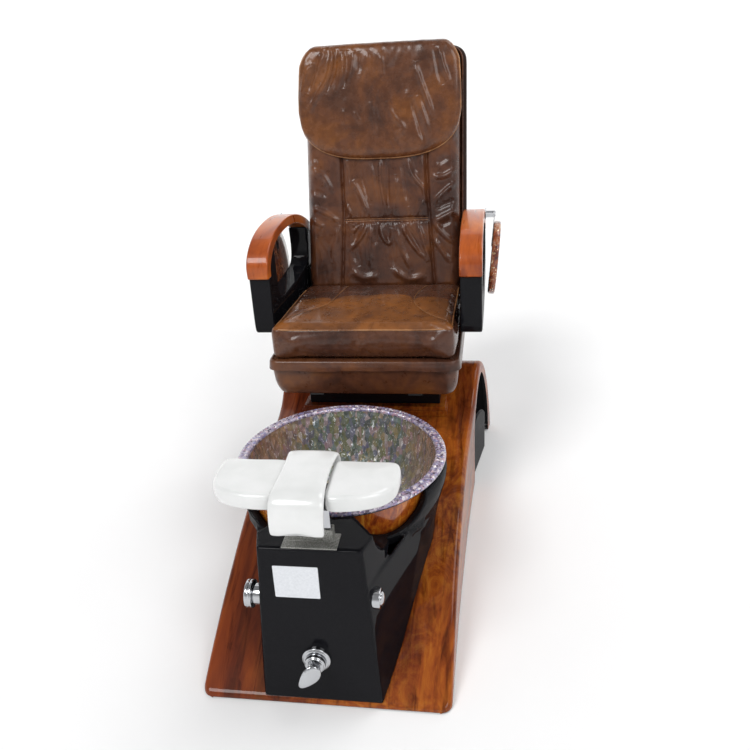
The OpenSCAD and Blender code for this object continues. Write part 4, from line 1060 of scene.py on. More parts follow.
def skirt():
    levels = [(412.5, 264, 799, 1292, 30), (414, 267, 796.5, 1295, 33), (419, 270, 794, 1297, 36), (427, 273.5, 791, 1298.5, 36), (438, 276.5, 788.8, 1299.5, 34), (452, 278.6, 787, 1300.2, 32), (470, 280, 786, 1300.8, 30),
              (488, 281, 785.4, 1301.2, 28), (504, 281.6, 785, 1301.6, 26), (514, 281.4, 785.2, 1301.4, 25), (520, 279.6, 786.6, 1300, 24), (523.6, 276, 790, 1297, 22), (524.8, 268, 798, 1289, 16)]
    rings = []
    for z, w, ya, yb, r in levels:
        p = plan_path(w / 1000, Y(ya), Y(yb), r / 1000, open_rear=0.242)
        zz = np.full(len(p), z / 1000)
        amp = 0.0011 * math.sin(math.pi * min(1, max(0, (z - 414) / 105)))
        off = np.array([nz(a * 1.0, b * 1.0, z / 1000 * 2, 9.0) for a, b in p]) * amp
        c = p - np.array([0, Y(1040)])
        p = p - c / np.linalg.norm(c, axis=1)[:, None] * (amp * 0.8 - off)[:, None]
        rings.append(np.column_stack([p, zz]))
    o = rings_mesh("seat_valance", rings, [M["leather"]], close_ring=False)
    me = o.data
    if sum(p.normal.y * p.area for p in me.polygons if p.center.y < Y(800)) > 0:
        me.flip_normals()
    s = o.modifiers.new("s", "SOLIDIFY")
    s.thickness, s.offset = 0.0035, -1.0
    bake(o)
    o.data.polygons.foreach_set("use_smooth", [True] * len(o.data.polygons))
    o.data.set_sharp_from_angle(angle=math.radians(60))
    put(o, "seat", "seat_skirt", slot="leather")
    # board the cushion lies on
    p = plan_path(0.2785, Y(788), Y(1268), 0.024)
    n = len(p)
    v = [(a, b, 0.5168) for a, b in p] + [(a, b, 0.5243) for a, b in p]
    f = [tuple(range(n)), tuple(range(n, 2 * n))] + [(i, (i + 1) % n, n + (i + 1) % n, n + i) for i in range(n)]
    # the board takes the darker leather copy: painted shade
    b = bevel(new_obj("seat_board", v, f, [M["leather_dark"]]), 0.0015, 2, 40)
    put(b, "seat", slot="leather")
    # overlapping flap round the top of the skirt, front and sides
    q = plan_path(0.2836, Y(782.4), Y(1296), 0.026)
    # drop the rear run
    q = q[9:-9]
    rings = []
    prof = [(0.0008, 0.0016), (0.0030, 0.0), (0.0052, 0.0006), (0.0050, 0.0030), (0.0036, 0.010), (0.0022, 0.020), (0.0002, 0.0240), (-0.004, 0.0256), (-0.0075, 0.0256)]
    for k, (a, b) in enumerate(q):
        i0, i1 = max(k - 1, 0), min(k + 1, len(q) - 1)
        t = q[i1] - q[i0]
        t /= np.linalg.norm(t)
        nrm = np.array([-t[1], t[0]])
        if (nrm @ (np.array([a, b]) - np.array([0, Y(1040)]))) < 0:
            nrm = -nrm
        front = max(0.0, 1 - (b - Y(782)) / 0.03)
        low = 0.4955 + 0.0016 * math.sin(a * 14 + 0.6) * front + 0.0022 * front * (a / 0.28) ** 2 - 0.0012 * math.sin(a * 37) * front
        rings.append([(a + nrm[0] * o_, b + nrm[1] * o_, low + h * (0.5244 - low) / 0.0252) for o_, h in prof])
    o = rings_mesh("valance_flap", rings, [M["leather"]], close_ring=False)
    s = o.modifiers.new("s", "SOLIDIFY")
    s.thickness, s.offset = 0.0016, 0.0
    bake(o)
    o.data.polygons.foreach_set("use_smooth", [True] * len(o.data.polygons))
    o.data.set_sharp_from_angle(angle=math.radians(70))
    put(o, "seat", slot="leather")


skirt()


def simulate(o, pressure=4.0, cap=0.01, frames=20, damp=5.0, pin=None):
    """Inflates a closed mesh a little as cloth, caps how far a point moves, and leaves the result in the mesh."""
    me = o.data
    n = len(me.vertices)
    before = np.zeros(n * 3)
    me.vertices.foreach_get("co", before)
    before = before.reshape(-1, 3)
    if pin is not None:
        g = o.vertex_groups.new(name="pin")
        for i in np.nonzero(pin > 0.01)[0]:
            g.add([int(i)], float(pin[i]), "REPLACE")
    c = o.modifiers.new("c", "CLOTH")
    st = c.settings
    st.quality = 5
    st.use_pressure = True
    st.uniform_pressure_force = pressure
    st.effector_weights.gravity = 0
    st.tension_stiffness = st.compression_stiffness = 15
    st.bending_stiffness = 2.0
    st.air_damping = damp
    if pin is not None:
        st.vertex_group_mass = "pin"
    c.collision_settings.use_collision = False
    c.collision_settings.use_self_collision = False
    c.point_cache.frame_start, c.point_cache.frame_end = 1, frames
    for f in range(1, frames + 1):
        SC.frame_set(f)
    dg = bpy.context.evaluated_depsgraph_get()
    ev = o.evaluated_get(dg).to_mesh()
    after = np.zeros(n * 3)
    ev.vertices.foreach_get("co", after)
    after = after.reshape(-1, 3)
    o.evaluated_get(dg).to_mesh_clear()
    o.modifiers.clear()
    SC.frame_set(1)
    d = after - before
    L = np.linalg.norm(d, axis=1)
    k = np.where(L > cap, cap / np.maximum(L, 1e-9), 1.0)
    co = before + d * k[:, None]
    me.vertices.foreach_set("co", co.ravel())
    me.update()
    if pin is not None:
        o.vertex_groups.clear()
    return o


def remesh(o, size):
    r = o.modifiers.new("r", "REMESH")
    r.mode, r.voxel_size = "VOXEL", size
    return bake(o)


def smooth_co(o, it=4, f=0.5):
    me = o.data
    e = np.zeros(len(me.edges) * 2, dtype=np.int32)
    me.edges.foreach_get("vertices", e)
    e = e.reshape(-1, 2)
    co = get_co(o)
    deg = np.maximum(np.bincount(e.ravel(), minlength=len(co)), 1)[:, None]
    for _ in range(it):
        acc = np.zeros_like(co)
        np.add.at(acc, e[:, 0], co[e[:, 1]])
        np.add.at(acc, e[:, 1], co[e[:, 0]])
        co = co + f * (acc / deg - co)
    set_co(o, co)


def cushion():
    lo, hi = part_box("seat_cushion")
    W = 0.2800
    ya, yb = lo.y - 0.001, hi.y
    base = lo.z
    UP = 0.013
    top = lambda y: UP + float(np.interp(y, [ya, ya + 0.03, Y(1000), Y(1180), yb], [hi.z - 0.006, hi.z - 0.0035, 0.6045, 0.5905, 0.577]))
    ins = 0.006
    prof = [(0.010, 0.0), (0.004, 0.0035), (0.001, 0.009), (0, 0.016), (0, 0.5), (0, 0.84), (0.0015, 0.92), (0.005, 0.968), (0.011, 0.992), (0.019, 1.0)]
    rings = []
    for k, (i, h) in enumerate(prof):
        p = plan_path(W - ins - i, ya + ins + i, yb - 0.004 - i, max(0.020 - i * 0.4, 0.006))
        z = []
        for a, b in p:
            t = top(b) - 0.003
            z.append(base + 0.001 + (h if h < 0.1 else h * (t - base - 0.001)) if h < 0.1 else base + 0.001 + h * (t - base - 0.001))
        rings.append(np.column_stack([p, z]))
    # the lid: shrink towards the middle
    last = rings[-1]
    c = np.array([0, (ya + yb) / 2])
    for s in (0.75, 0.5, 0.25, 0.06):
        q = c + (last[:, :2] - c) * s
        rings.append(np.column_stack([q, [top(b) - 0.003 + 0.002 * (1 - s) for b in q[:, 1]]]))
    o = rings_mesh("seat_pad", rings, [M["leather_seat"]], cap0=True, cap1=True)
    remesh(o, 0.006)
    simulate(o, 4.0, 0.0075, 20)
    m = o.modifiers.new("s", "SUBSURF")
    m.levels = m.render_levels = 1
    bake(o)
    smooth_co(o, 3, 0.5)
    co = get_co(o)
    x, y, z = co[:, 0], co[:, 1], co[:, 2]
    # sewn curves on the top panel
    is_top = np.clip((z - (UP + np.interp(y, [ya, ya + 0.03, Y(1000), Y(1180), yb], [hi.z - 0.006, hi.z - 0.0035, 0.6045, 0.5905, 0.577]) - 0.016)) / 0.008, 0, 1)
    dz = np.zeros(len(co))
    SEAMS = ([(-0.118, Y(1270)), (-0.128, Y(1120)), (-0.145, Y(1000)), (-0.197, Y(938)), (-0.250, Y(872))],
             [(0.158, Y(1270)), (0.134, Y(1140)), (0.136, Y(1022)), (0.184, Y(916)), (0.246, Y(850))])
    for s in SEAMS:
        p = catmull(s, 60)
        d, _ = seg_dist(x, y, p)
        dz -= 0.0016 * np.exp(-((d / 0.0035) ** 2))
        dz -= 0.0022 * np.exp(-((d / 0.016) ** 2))
    # faint drag lines and a crowned seat area
    u, v = x / W, (y - ya) / (yb - ya)
    dz += 0.0035 * np.clip(1 - u * u, 0, 1) * np.clip(np.sin(np.pi * np.clip(v, 0, 1)), 0, 1)
    wr = np.array([noise.noise(Vector((a * 7, b * 5, 3.1))) + 0.5 * noise.noise(Vector((a * 19, b * 12, 8.3))) for a, b in zip(x, y)])
    dz += 0.0011 * wr
    z2 = z + dz * is_top
    # long soft wrinkles along the front border
    fr = np.clip((ya + 0.020 - y) / 0.014, 0, 1) * np.clip((z - base - 0.006) / 0.02, 0, 1)
    wv = np.array([noise.noise(Vector((a * 9, c * 38, 1.7))) for a, c in zip(x, z)])
    y2 = y - 0.0016 * wv * fr
    co = np.column_stack([x, y2, np.clip(z2, base + 0.0003, hi.z + UP + 0.004)])
    co[:, 0] = np.clip(co[:, 0], -W + 0.0018, W - 0.0018)
    set_co(o, co)
    o.data.polygons.foreach_set("use_smooth", [True] * len(o.data.polygons))
    me = o.data
    # faces below the top edge take the darker leather copy, painted shade on the sides; the top keeps the lighter copy,
    # painted light
    me.materials.append(M["leather_dark"])
    zc = np.zeros(len(me.polygons) * 3)
    me.polygons.foreach_get("center", zc)
    zc = zc.reshape(-1, 3)
    nn = np.zeros(len(me.polygons) * 3)
    me.polygons.foreach_get("normal", nn)
    nn = nn.reshape(-1, 3)
    edge_z = UP + hi.z - 0.0135
    side = (zc[:, 2] < edge_z)
    me.polygons.foreach_set("material_index", side.astype(np.int32))
    me.update()
    put(o, "seat", "seat_cushion", slot="leather")
    # piping: where the top panel meets the border
    tree_co = get_co(o)

    def surf(px, py, nz_, want):
        i = np.argmax(tree_co @ np.array([px, py, nz_]) - 40 * ((tree_co[:, 0] - want[0]) ** 2 + (tree_co[:, 1] - want[1]) ** 2))
        return tree_co[i]
    path = plan_path(W - 0.009, ya + 0.010, yb - 0.03, 0.022)
    pts = []
    for a, b in path[8:-8:2]:
        w = (a, b)
        d2 = (tree_co[:, 0] - a) ** 2 + (tree_co[:, 1] - b) ** 2
        near = np.nonzero(d2 < 0.0012 ** 2 * 60)[0]
        if len(near) == 0:
            continue
        sub = tree_co[near]
        out = np.array([a, b]) - np.array([0, (ya + yb) / 2])
        ox = 1.0 if abs(a) > W - 0.02 else 0.0
        oy = 1.0 if b < ya + 0.03 else 0.0
        dirn = np.array([math.copysign(ox, a) * 0.75, -oy * 0.75, 1.0])
        dirn /= np.linalg.norm(dirn)
        k = near[np.argmax(sub @ dirn)]
        pts.append(tree_co[k] + dirn * 0.0002)
    pts = np.array(pts)
    for _ in range(6):
        pts[1:-1] = 0.5 * pts[1:-1] + 0.25 * (pts[:-2] + pts[2:])
    pts = catmull(pts, 260)
    # lighter tan piping: real piping, its tan partly a painted edge highlight
    t = tube("seat_piping", pts, 0.0022, [M["piping"]], 10)
    put(t, "seat", slot="leather")
    # thread along the two sewn curves
    for k, s in enumerate(SEAMS):
        p = catmull(s, 90)
        q = []
        for a, b in p:
            d2 = (tree_co[:, 0] - a) ** 2 + (tree_co[:, 1] - b) ** 2
            near = np.nonzero(d2 < 0.005 ** 2)[0]
            if len(near) == 0:
                continue
            q.append((a, b, float(np.median(np.sort(tree_co[near, 2])[-6:])) + 0.0002))
        q = np.array(q)
        for _ in range(5):
            q[1:-1, 2] = 0.5 * q[1:-1, 2] + 0.25 * (q[:-2, 2] + q[2:, 2])
        put(tube("seat_seam_%d" % k, q, 0.0011, [M["seam"]], 8), "seat", slot="leather")


cushion()

# ---------------------------------------------------------------- backrest
LEAN = math.radians(17)
HY, HZ = Y(1345), 0.505
CS, SN = math.cos(LEAN), math.sin(LEAN)


def back_w(x, yl, zl):
    """Backrest frame (mm: across, depth, up along the back) to the shared frame."""
    x, yl, zl = (np.asarray(q, float) / 1000 for q in (x, yl, zl))
    return np.stack([x + 0 * zl, HY + yl * CS + zl * SN, HZ - yl * SN + zl * CS], -1)


def rr(w, z0, z1, r_top, r_bot, n=12):
    pts = [(w - r_bot + r_bot * math.cos(a), z0 + r_bot + r_bot * math.sin(a)) for a in np.linspace(-math.pi / 2, 0, n)]
    pts += [(w, z) for z in np.linspace(z0 + r_bot, z1 - r_top, 26)[1:-1]]
    pts += [(w - r_top + r_top * math.cos(a), z1 - r_top + r_top * math.sin(a)) for a in np.linspace(0, math.pi / 2, n)]
    pts += [(x, z1) for x in np.linspace(w - r_top, -w + r_top, 22)[1:-1]]
    pts += [(-w + r_top + r_top * math.cos(a), z1 - r_top + r_top * math.sin(a)) for a in np.linspace(math.pi / 2, math.pi, n)]
    pts += [(-w, z) for z in np.linspace(z1 - r_top, z0 + r_bot, 26)[1:-1]]
    pts += [(-w + r_bot + r_bot * math.cos(a), z0 + r_bot + r_bot * math.sin(a)) for a in np.linspace(math.pi, 3 * math.pi / 2, n)]
    pts += [(x, z0) for x in np.linspace(-w + r_bot, w - r_bot, 22)[1:-1]]
    return np.array(pts)


def back_shell_obj():
    rings = []
    n = None
    spec = [(-3.5, 11), (-3.5, 3.0), (-2.6, 1.0), (0, 0.1), (6, 0), (30, 0), (52, 0.4), (64, 1.6), (74, 4.6), (81, 9.5), (85.4, 16), (87.4, 25), (88, 38), (88, 90), (88, 160), (88, 235)]
    for yl, ins in spec:
        k = min(ins, 235)
        p = rr(273 - k, 24 + k, 866 - k, max(50 - ins * 0.5, 14) if ins < 60 else 12, max(34 - ins * 0.4, 10) if ins < 60 else 8)
        rings.append(back_w(p[:, 0], np.full(len(p), yl), p[:, 1]))
    o = rings_mesh("back_cover", rings, [M["black_shell"]], cap1=True)
    o.data.set_sharp_from_angle(angle=math.radians(50))
    # inner lining so that the shell is a closed body
    spec = [(-3.5, 11), (20, 11.5), (60, 13), (74, 22), (78, 38), (78, 100), (78, 235)]
    rings = []
    for yl, ins in spec:
        p = rr(273 - ins, 24 + ins, 866 - ins, max(50 - ins * 0.5, 14) if ins < 60 else 12, max(34 - ins * 0.4, 10) if ins < 60 else 8)
        rings.append(back_w(p[:, 0], np.full(len(p), yl), p[:, 1]))
    q = rings_mesh("back_lining", rings, [M["black_satin"]], cap1=True)
    bm = bmesh.new()
    bm.from_mesh(o.data)
    bm2 = bmesh.new()
    bm2.from_mesh(q.data)
    bm2.free()
    bm.free()
    bpy.ops.object.select_all(action="DESELECT")
    o.select_set(True)
    q.select_set(True)
    bpy.context.view_layer.objects.active = o
    bpy.ops.object.join()
    bm = bmesh.new()
    bm.from_mesh(o.data)
    bmesh.ops.remove_doubles(bm, verts=bm.verts, dist=1e-5)
    bmesh.ops.recalc_face_normals(bm, faces=bm.faces)
    bm.to_mesh(o.data)
    bm.free()
    o.data.polygons.foreach_set("use_smooth", [True] * len(o.data.polygons))
    o.data.set_sharp_from_angle(angle=math.radians(50))
    c = get_co(o)
    c[:, 0] += 0.011 * np.clip(c[:, 0] / 0.26, 0, 1) ** 3
    set_co(o, c)
    put(o, "back", "back_shell", slot="black_shell")
    # leather boxing strip round the sides between the shell and the pad
    rings = []
    for yl, ins in [(-6, 6), (-5.6, 1.5), (-4, -0.6), (4, -1.6), (14, -1.8), (22, -1.2), (25, -0.2), (25.6, 2)]:
        p = rr(273 - ins, 30 + ins, 866 - ins * 0.2 - 1, 50, 34)
        rings.append(back_w(p[:, 0], np.full(len(p), yl), p[:, 1]))
    # the boxing takes the darker leather copy: painted shade on the side-facing strip
    b = rings_mesh("back_boxing", rings, [M["leather_dark"]])
    s = b.modifiers.new("s", "SOLIDIFY")
    s.thickness, s.offset = 0.002, -1.0
    bake(b)
    b.data.polygons.foreach_set("use_smooth", [True] * len(b.data.polygons))
    put(b, "back", slot="leather")
    # piped seam between boxing and pad
    p = rr(271, 32, 863, 48, 34)
    pts = back_w(p[:, 0], np.full(len(p), -7.5), p[:, 1])
    pts = np.vstack([pts, pts[:1]])
    # the piped seam takes the darker leather copy: painted shade
    put(tube("back_piping", pts, 0.0026, [M["leather_dark"]], 8, cap=False), "back", slot="leather")


back_shell_obj()

ZG = 288.0


def back_pad():
    nx, nzv = 230, 330
    z0, z1 = 46.0, 858.0
    zs = np.linspace(0, 1, nzv)
    us = np.linspace(-1, 1, nx)
    # rows and columns stay evenly spaced: the crowding exponent is 1.0
    us = np.sign(us) * (1 - (1 - np.abs(us)) ** 1.0)
    Z = z0 + (z1 - z0) * zs[:, None] * np.ones((1, nx))
    rc = 44.0
    hw = 266.0 - np.where(z1 - Z < rc, rc - np.sqrt(np.maximum(rc * rc - (rc - (z1 - Z)) ** 2, 0)), 0) - np.where(Z - z0 < 12, 12 - np.sqrt(np.maximum(144 - (12 - (Z - z0)) ** 2, 0)), 0)
    X = us[None, :] * hw
    # distance to the border gives the rolled edge
    db = np.minimum(np.minimum(hw - np.abs(X), (Z - z0) + 6), (z1 - Z) + 4)
    R = 34.0
    e = np.clip(db / R, 0, 1)
    roll = np.sqrt(np.clip(1 - (1 - e) ** 2, 0, 1))
    T = 8 + 42 * roll
    sl = np.interp(Z, [75, 202, 315, 494, 860], [-146, -140, -135, -141, -146])
    sr = np.interp(Z, [71, 252, 363, 506, 860], [178, 166, 158, 153, 150])
    # bolsters stand proud of the centre panel
    side = np.where(X < 0, sl - X, X - sr)
    bol = np.clip(side / 26, 0, 1)
    bol = np.sin(bol * math.pi / 2) * np.clip(db / 26, 0, 1)
    T += 5.5 * bol
    cen = (X > sl) & (X < sr)
    mid = (sl + sr) / 2
    half = (sr - sl) / 2
    cu = np.clip(1 - ((X - mid) / half) ** 2, 0, 1)
    T += np.where(cen, 3.0 * np.sqrt(cu), 0)
    # seams
    for s in (sl, sr):
        d = np.abs(X - s)
        T -= 7.0 * np.exp(-((d / 5.0) ** 2)) + 2.5 * np.exp(-((d / 14.0) ** 2))
    inner = np.where(cen, 1.0, 0.0) * np.clip((half - np.abs(X - mid)) / 12, 0, 1)
    outer = (1 - np.where(cen, 1.0, 0.0)) * np.clip(side / 10, 0, 1) * np.clip(db / 20, 0, 1)
    # gathered band across the centre panel
    g = Z - (ZG + 0.000 * X)
    T -= inner * (7.5 * np.exp(-((g / 7.0) ** 2)) + 4.0 * np.exp(-((g / 26.0) ** 2)))
    T += inner * 3.4 * np.exp(-((g / 2.6) ** 2))
    ph = 0.7 * np.sin(X * 0.021 + 1.3) + 0.5 * np.sin(X * 0.043)
    puck = np.sin(X * 0.30 + 2.2 * ph) * 0.5 + 0.5 * np.sin(X * 0.187 + 3.1 * ph + 1)
    T += inner * 2.2 * puck * np.exp(-((np.abs(g) - 9) / 13.0) ** 2)
    long_ = np.sin(X * 0.098 + 1.9 * ph + 0.0045 * g) * 0.6 + 0.4 * np.sin(X * 0.157 + ph)
    T += inner * 2.4 * long_ * np.exp(-(np.abs(g) / 95.0)) * np.clip(np.abs(g) / 14, 0, 1)
    F = [  # centre panel above the gather
        ([(-6, 500), (-5, 423), (7, 351), (20, 302)], 6.5, 8.0), ([(83, 500), (105, 436), (139, 391), (151, 355)], 7, 7.5),
        ([(136, 506), (143, 435), (147, 336)], 6, 5.5), ([(-99, 425), (-68, 353), (-44, 305)], 8, 6.5), ([(-128, 345), (-108, 303)], 6, 4.5),
        ([(50, 440), (47, 366), (34, 303)], 9, 5.5), ([(-43, 495), (-32, 424), (-15, 320)], 10, 4.5), ([(113, 292), (130, 330), (150, 356)], 6, 5.5),
        ([(-121, 492), (-119, 416), (-112, 370)], 7, 4.0), ([(22, 500), (20, 420), (22, 330)], 6, -5.0), ([(-70, 490), (-62, 420), (-40, 340)], 8, -4.0), ([(70, 500), (80, 420), (92, 330)], 8, -5.5), ([(108, 500), (120, 440)], 7, -4.5),
        # below the gather
        ([(-47, 280), (-77, 229), (-119, 184)], 8, 8.0), ([(-9, 282), (-1, 233), (22, 206), (34, 258)], 7, 7.0), ([(57, 280), (103, 203), (156, 143)], 7.5, 8.0),
        ([(120, 282), (143, 207), (165, 143)], 7, 6.5), ([(44, 270), (74, 169), (102, 110)], 9, 6.0), ([(-35, 275), (-48, 183), (-38, 118)], 10, 6.5),
        ([(-112, 116), (-67, 90), (-12, 97)], 13, 7.5), ([(30, 120), (90, 84), (150, 92)], 12, 7.5), ([(-76, 280), (-106, 244)], 6, 6.0), ([(76, 282), (80, 234)], 5, 5.0), ([(-118, 282), (-94, 268)], 6, 5.0),
        ([(-90, 262), (-100, 180), (-84, 130)], 10, -5.5), ([(14, 262), (34, 170), (30, 120)], 11, -6.5), ([(84, 262), (124, 190), (140, 150)], 6, -4.5), ([(-20, 268), (-24, 200)], 7, -4.5)]
    for p, w, a in F:
        T += inner * fold(X, Z, p, w, a)
    S = [([(-252, 468), (-206, 441), (-172, 384)], 9, 6.5), ([(-256, 338), (-204, 317), (-150, 282)], 9, 7.0), ([(-250, 294), (-205, 266)], 8, 5.5), ([(-152, 272), (-171, 202), (-179, 140)], 10, 5.0),
         ([(-256, 400), (-191, 373)], 10, -4.5), ([(-250, 488), (-220, 486)], 8, 4.5), ([(-240, 235), (-200, 180), (-175, 110)], 14, -3.5),
         ([(260, 570), (218, 536)], 8, 6.5), ([(258, 450), (212, 427), (172, 428)], 9, 7.0), ([(258, 408), (212, 372), (176, 338)], 8, 7.5), ([(262, 318), (228, 300), (172, 272)], 10, 8.0),
         ([(172, 280), (222, 223), (258, 198)], 9, 6.5), ([(177, 220), (211, 172), (236, 136)], 9, 6.0), ([(256, 350), (215, 335), (182, 318)], 9, -6.0), ([(240, 280), (196, 262)], 8, -5.0), ([(230, 495), (190, 470)], 10, -4.5)]
    for p, w, a in S:
        T += outer * fold(X, Z, p, w, a)
    # fine leather creases
    cr = np.array([[noise.noise(Vector((X[i, j] * 0.030, Z[i, j] * 0.022, 0.5))) + 0.5 * noise.noise(Vector((X[i, j] * 0.075, Z[i, j] * 0.05, 4.5))) for j in range(nx)] for i in range(nzv)])
    T += 1.1 * cr * np.clip(db / 30, 0, 1)
    T = np.clip(T, 4, 66)
    # the head flap lies over the upper part of the pad
    hid = np.clip((Z - 520) / 40, 0, 1)
    T = T * (1 - hid) + np.minimum(T, 55.0) * hid
    face = back_w(X - 3.0, -6 - T, Z)
    v = face.reshape(-1, 3)
    back = back_w(X - 3.0, np.full_like(X, -6.2), Z).reshape(-1, 3)
    f = []
    idx = lambda i, j: i * nx + j
    for i in range(nzv - 1):
        for j in range(nx - 1):
            f.append((idx(i, j), idx(i, j + 1), idx(i + 1, j + 1), idx(i + 1, j)))
    N = nx * nzv
    ring = [idx(0, j) for j in range(nx)] + [idx(i, nx - 1) for i in range(1, nzv)] + [idx(nzv - 1, j) for j in range(nx - 2, -1, -1)] + [idx(i, 0) for i in range(nzv - 2, 0, -1)]
    bv = back[ring]
    vv = np.vstack([v, bv])
    m = len(ring)
    for k in range(m):
        f.append((ring[k], N + k, N + (k + 1) % m, ring[(k + 1) % m]))
    f.append(tuple(N + k for k in range(m)))
    o = new_obj("back_cushion", vv, f, [M["leather"]])
    o.data.set_sharp_from_angle(angle=math.radians(75))
    put(o, "back", "back_pad", slot="leather")
    # double stitched elastic band of the gather
    for k, dz in enumerate((-3.2, 3.6)):
        xs = np.linspace(-133, 158, 110)
        tt = []
        for x in xs:
            j = int(np.argmin(np.abs(X[int((ZG - z0) / (z1 - z0) * (nzv - 1))] - x)))
            i = int(round((ZG + dz - z0) / (z1 - z0) * (nzv - 1)))
            tt.append(T[i, j])
        tt = np.array(tt)
        for _ in range(3):
            tt[1:-1] = 0.5 * tt[1:-1] + 0.25 * (tt[:-2] + tt[2:])
        pts = back_w(xs - 3.0, -6 - tt - 0.5, np.full(len(xs), ZG + dz))
        put(tube("gather_stitch_%d" % k, pts, 0.0010, [M["seam"]], 8), "back", slot="leather")


back_pad()


def head_flap():
    nx, ns = 210, 260
    us = np.linspace(-1, 1, nx)
    # path down each column: along the top from the rear, over the edge, down the front
    zt = 869.0
    zlow = 494 + 150 * (1 - (1 - np.clip(np.abs(us), 0, 1) ** 2.9) ** (1 / 2.3))
    P = np.zeros((ns, nx, 3))
    Nn = np.zeros((ns, nx, 3))
    SS = np.zeros((ns, nx))
    Zl = np.zeros((ns, nx))
    Xl = np.zeros((ns, nx))
    for j, u in enumerate(us):
        path = np.array([[60, zt + 2], [30, zt + 3.2], [0, zt + 3.4], [-30, zt + 2.4], [-52, zt - 2.0], [-66, zt - 13], [-73, zt - 34], [-76.5, zt - 80], [-78, zt - 150], [-77, zt - 220], [-74.0, zlow[j] + (zt - 220 - zlow[j]) * 0.25], [-68.0, zlow[j]]])
        q = catmull(path, ns)
        t = np.gradient(q, axis=0)
        t /= np.linalg.norm(t, axis=1)[:, None]
        nrm = np.stack([t[:, 1], -t[:, 0]], 1)
        z = q[:, 1]
        wz = np.interp(z, [480, 560, 640, 700, 780, 806, 830, 850, 862, 869, 873], [272, 274, 275.5, 275.5, 272, 270, 261, 250, 243, 238, 236])
        on_top = (q[:, 0] > -50) & (z > 862)
        wz = np.where(on_top, 236, wz)
        for _ in range(6):
            wz[1:-1] = 0.5 * wz[1:-1] + 0.25 * (wz[:-2] + wz[2:])
        P[:, j, 0] = u * wz
        P[:, j, 1] = q[:, 0]
        P[:, j, 2] = z
        Nn[:, j, 1] = nrm[:, 0]
        Nn[:, j, 2] = nrm[:, 1]
        SS[:, j] = np.linspace(0, 1, ns)
    # outward is away from the pad
    sgn = -1 if Nn[ns // 2, nx // 2, 1] > 0 else 1
    Nn *= sgn
    X, Zc = P[:, :, 0], P[:, :, 2]
    fr = np.clip((-40 - P[:, :, 1]) / 25, 0, 1)
    U = np.abs(us)[None, :] * np.ones((ns, 1))
    db = np.minimum((1 - U) * 270, (1 - SS) * 430)
    e = np.clip(db / 26, 0, 1)
    roll = np.sqrt(np.clip(1 - (1 - e) ** 2, 0, 1))
    T = -6 + 12.0 * roll + 4.0 * np.clip(1 - U ** 2, 0, 1) * fr
    W = [([(-190, 858), (-184, 832), (-203, 800)], 7, 6.0), ([(-160, 858), (-154, 838), (-171, 759), (-213, 691), (-238, 655)], 8, 8.5), ([(-120, 845), (-118, 820), (-126, 752), (-145, 716)], 8.5, 6.0),
         ([(-82, 845), (-88, 776), (-99, 750)], 8, 4.5), ([(-33, 840), (-32, 760)], 9, 3.2), ([(11, 830), (20, 745)], 9, 3.2), ([(-222, 815), (-250, 769), (-268, 689)], 8, 6.5),
         ([(-140, 850), (-148, 780), (-180, 710)], 7, -5.0), ([(-104, 845), (-108, 770), (-120, 725)], 7, -4.5), ([(-196, 840), (-222, 770), (-244, 715)], 7, -5.0), ([(-62, 840), (-64, 770)], 8, -2.8),
         ([(130, 800), (132, 770), (149, 722), (188, 612)], 8.5, 6.0), ([(112, 690), (137, 600), (160, 530)], 9, -6.5), ([(134, 690), (158, 610), (176, 545)], 9, 4.5),
         ([(204, 845), (217, 786), (238, 731)], 8, 6.5), ([(190, 845), (200, 780), (215, 720)], 8, -4.0), ([(30, 676), (53, 625), (84, 588), (52, 552)], 9, 3.4), ([(-84, 650), (-58, 606)], 8, 2.8), ([(-116, 658), (-124, 606)], 9, 2.6),
         ([(-25, 676), (-15, 607), (-4, 560)], 8, 3.2), ([(-6, 700), (6, 640), (20, 600)], 9, -2.5), ([(84, 760), (96, 700)], 12, -2.2)]
    for p, w, a in W:
        T += fr * fold(X, Zc, p, w, a)
    cr = np.array([[noise.noise(Vector((X[i, j] * 0.022, Zc[i, j] * 0.018, 7.5))) + 0.5 * noise.noise(Vector((X[i, j] * 0.06, Zc[i, j] * 0.04, 2.5))) for j in range(nx)] for i in range(ns)])
    T += 1.8 * cr * np.clip(db / 30, 0, 1) * fr
    T = np.clip(T, -7, 16)
    O = P + Nn * T[:, :, None]
    O[:, :, 1] = np.maximum(O[:, :, 1], -97)
    I = P - Nn * 7.0
    I[:, :, 0] *= 0.985
    vo = back_w(O[:, :, 0] - 8.0, O[:, :, 1], O[:, :, 2]).reshape(-1, 3)
    vi = back_w(I[:, :, 0] - 8.0, I[:, :, 1], I[:, :, 2]).reshape(-1, 3)
    f = []
    N = nx * ns
    idx = lambda i, j: i * nx + j
    for i in range(ns - 1):
        for j in range(nx - 1):
            f.append((idx(i, j), idx(i, j + 1), idx(i + 1, j + 1), idx(i + 1, j)))
            f.append((N + idx(i, j), N + idx(i + 1, j), N + idx(i + 1, j + 1), N + idx(i, j + 1)))
    ring = [idx(0, j) for j in range(nx)] + [idx(i, nx - 1) for i in range(1, ns)] + [idx(ns - 1, j) for j in range(nx - 2, -1, -1)] + [idx(i, 0) for i in range(ns - 2, 0, -1)]
    m = len(ring)
    for k in range(m):
        a, b = ring[k], ring[(k + 1) % m]
        f.append((a, N + a, N + b, b))
    o = new_obj("head_cushion", np.vstack([vo, vi]), f, [M["leather_flap"]])
    o.data.set_sharp_from_angle(angle=math.radians(75))
    put(o, "back", "head_flap", slot="leather")
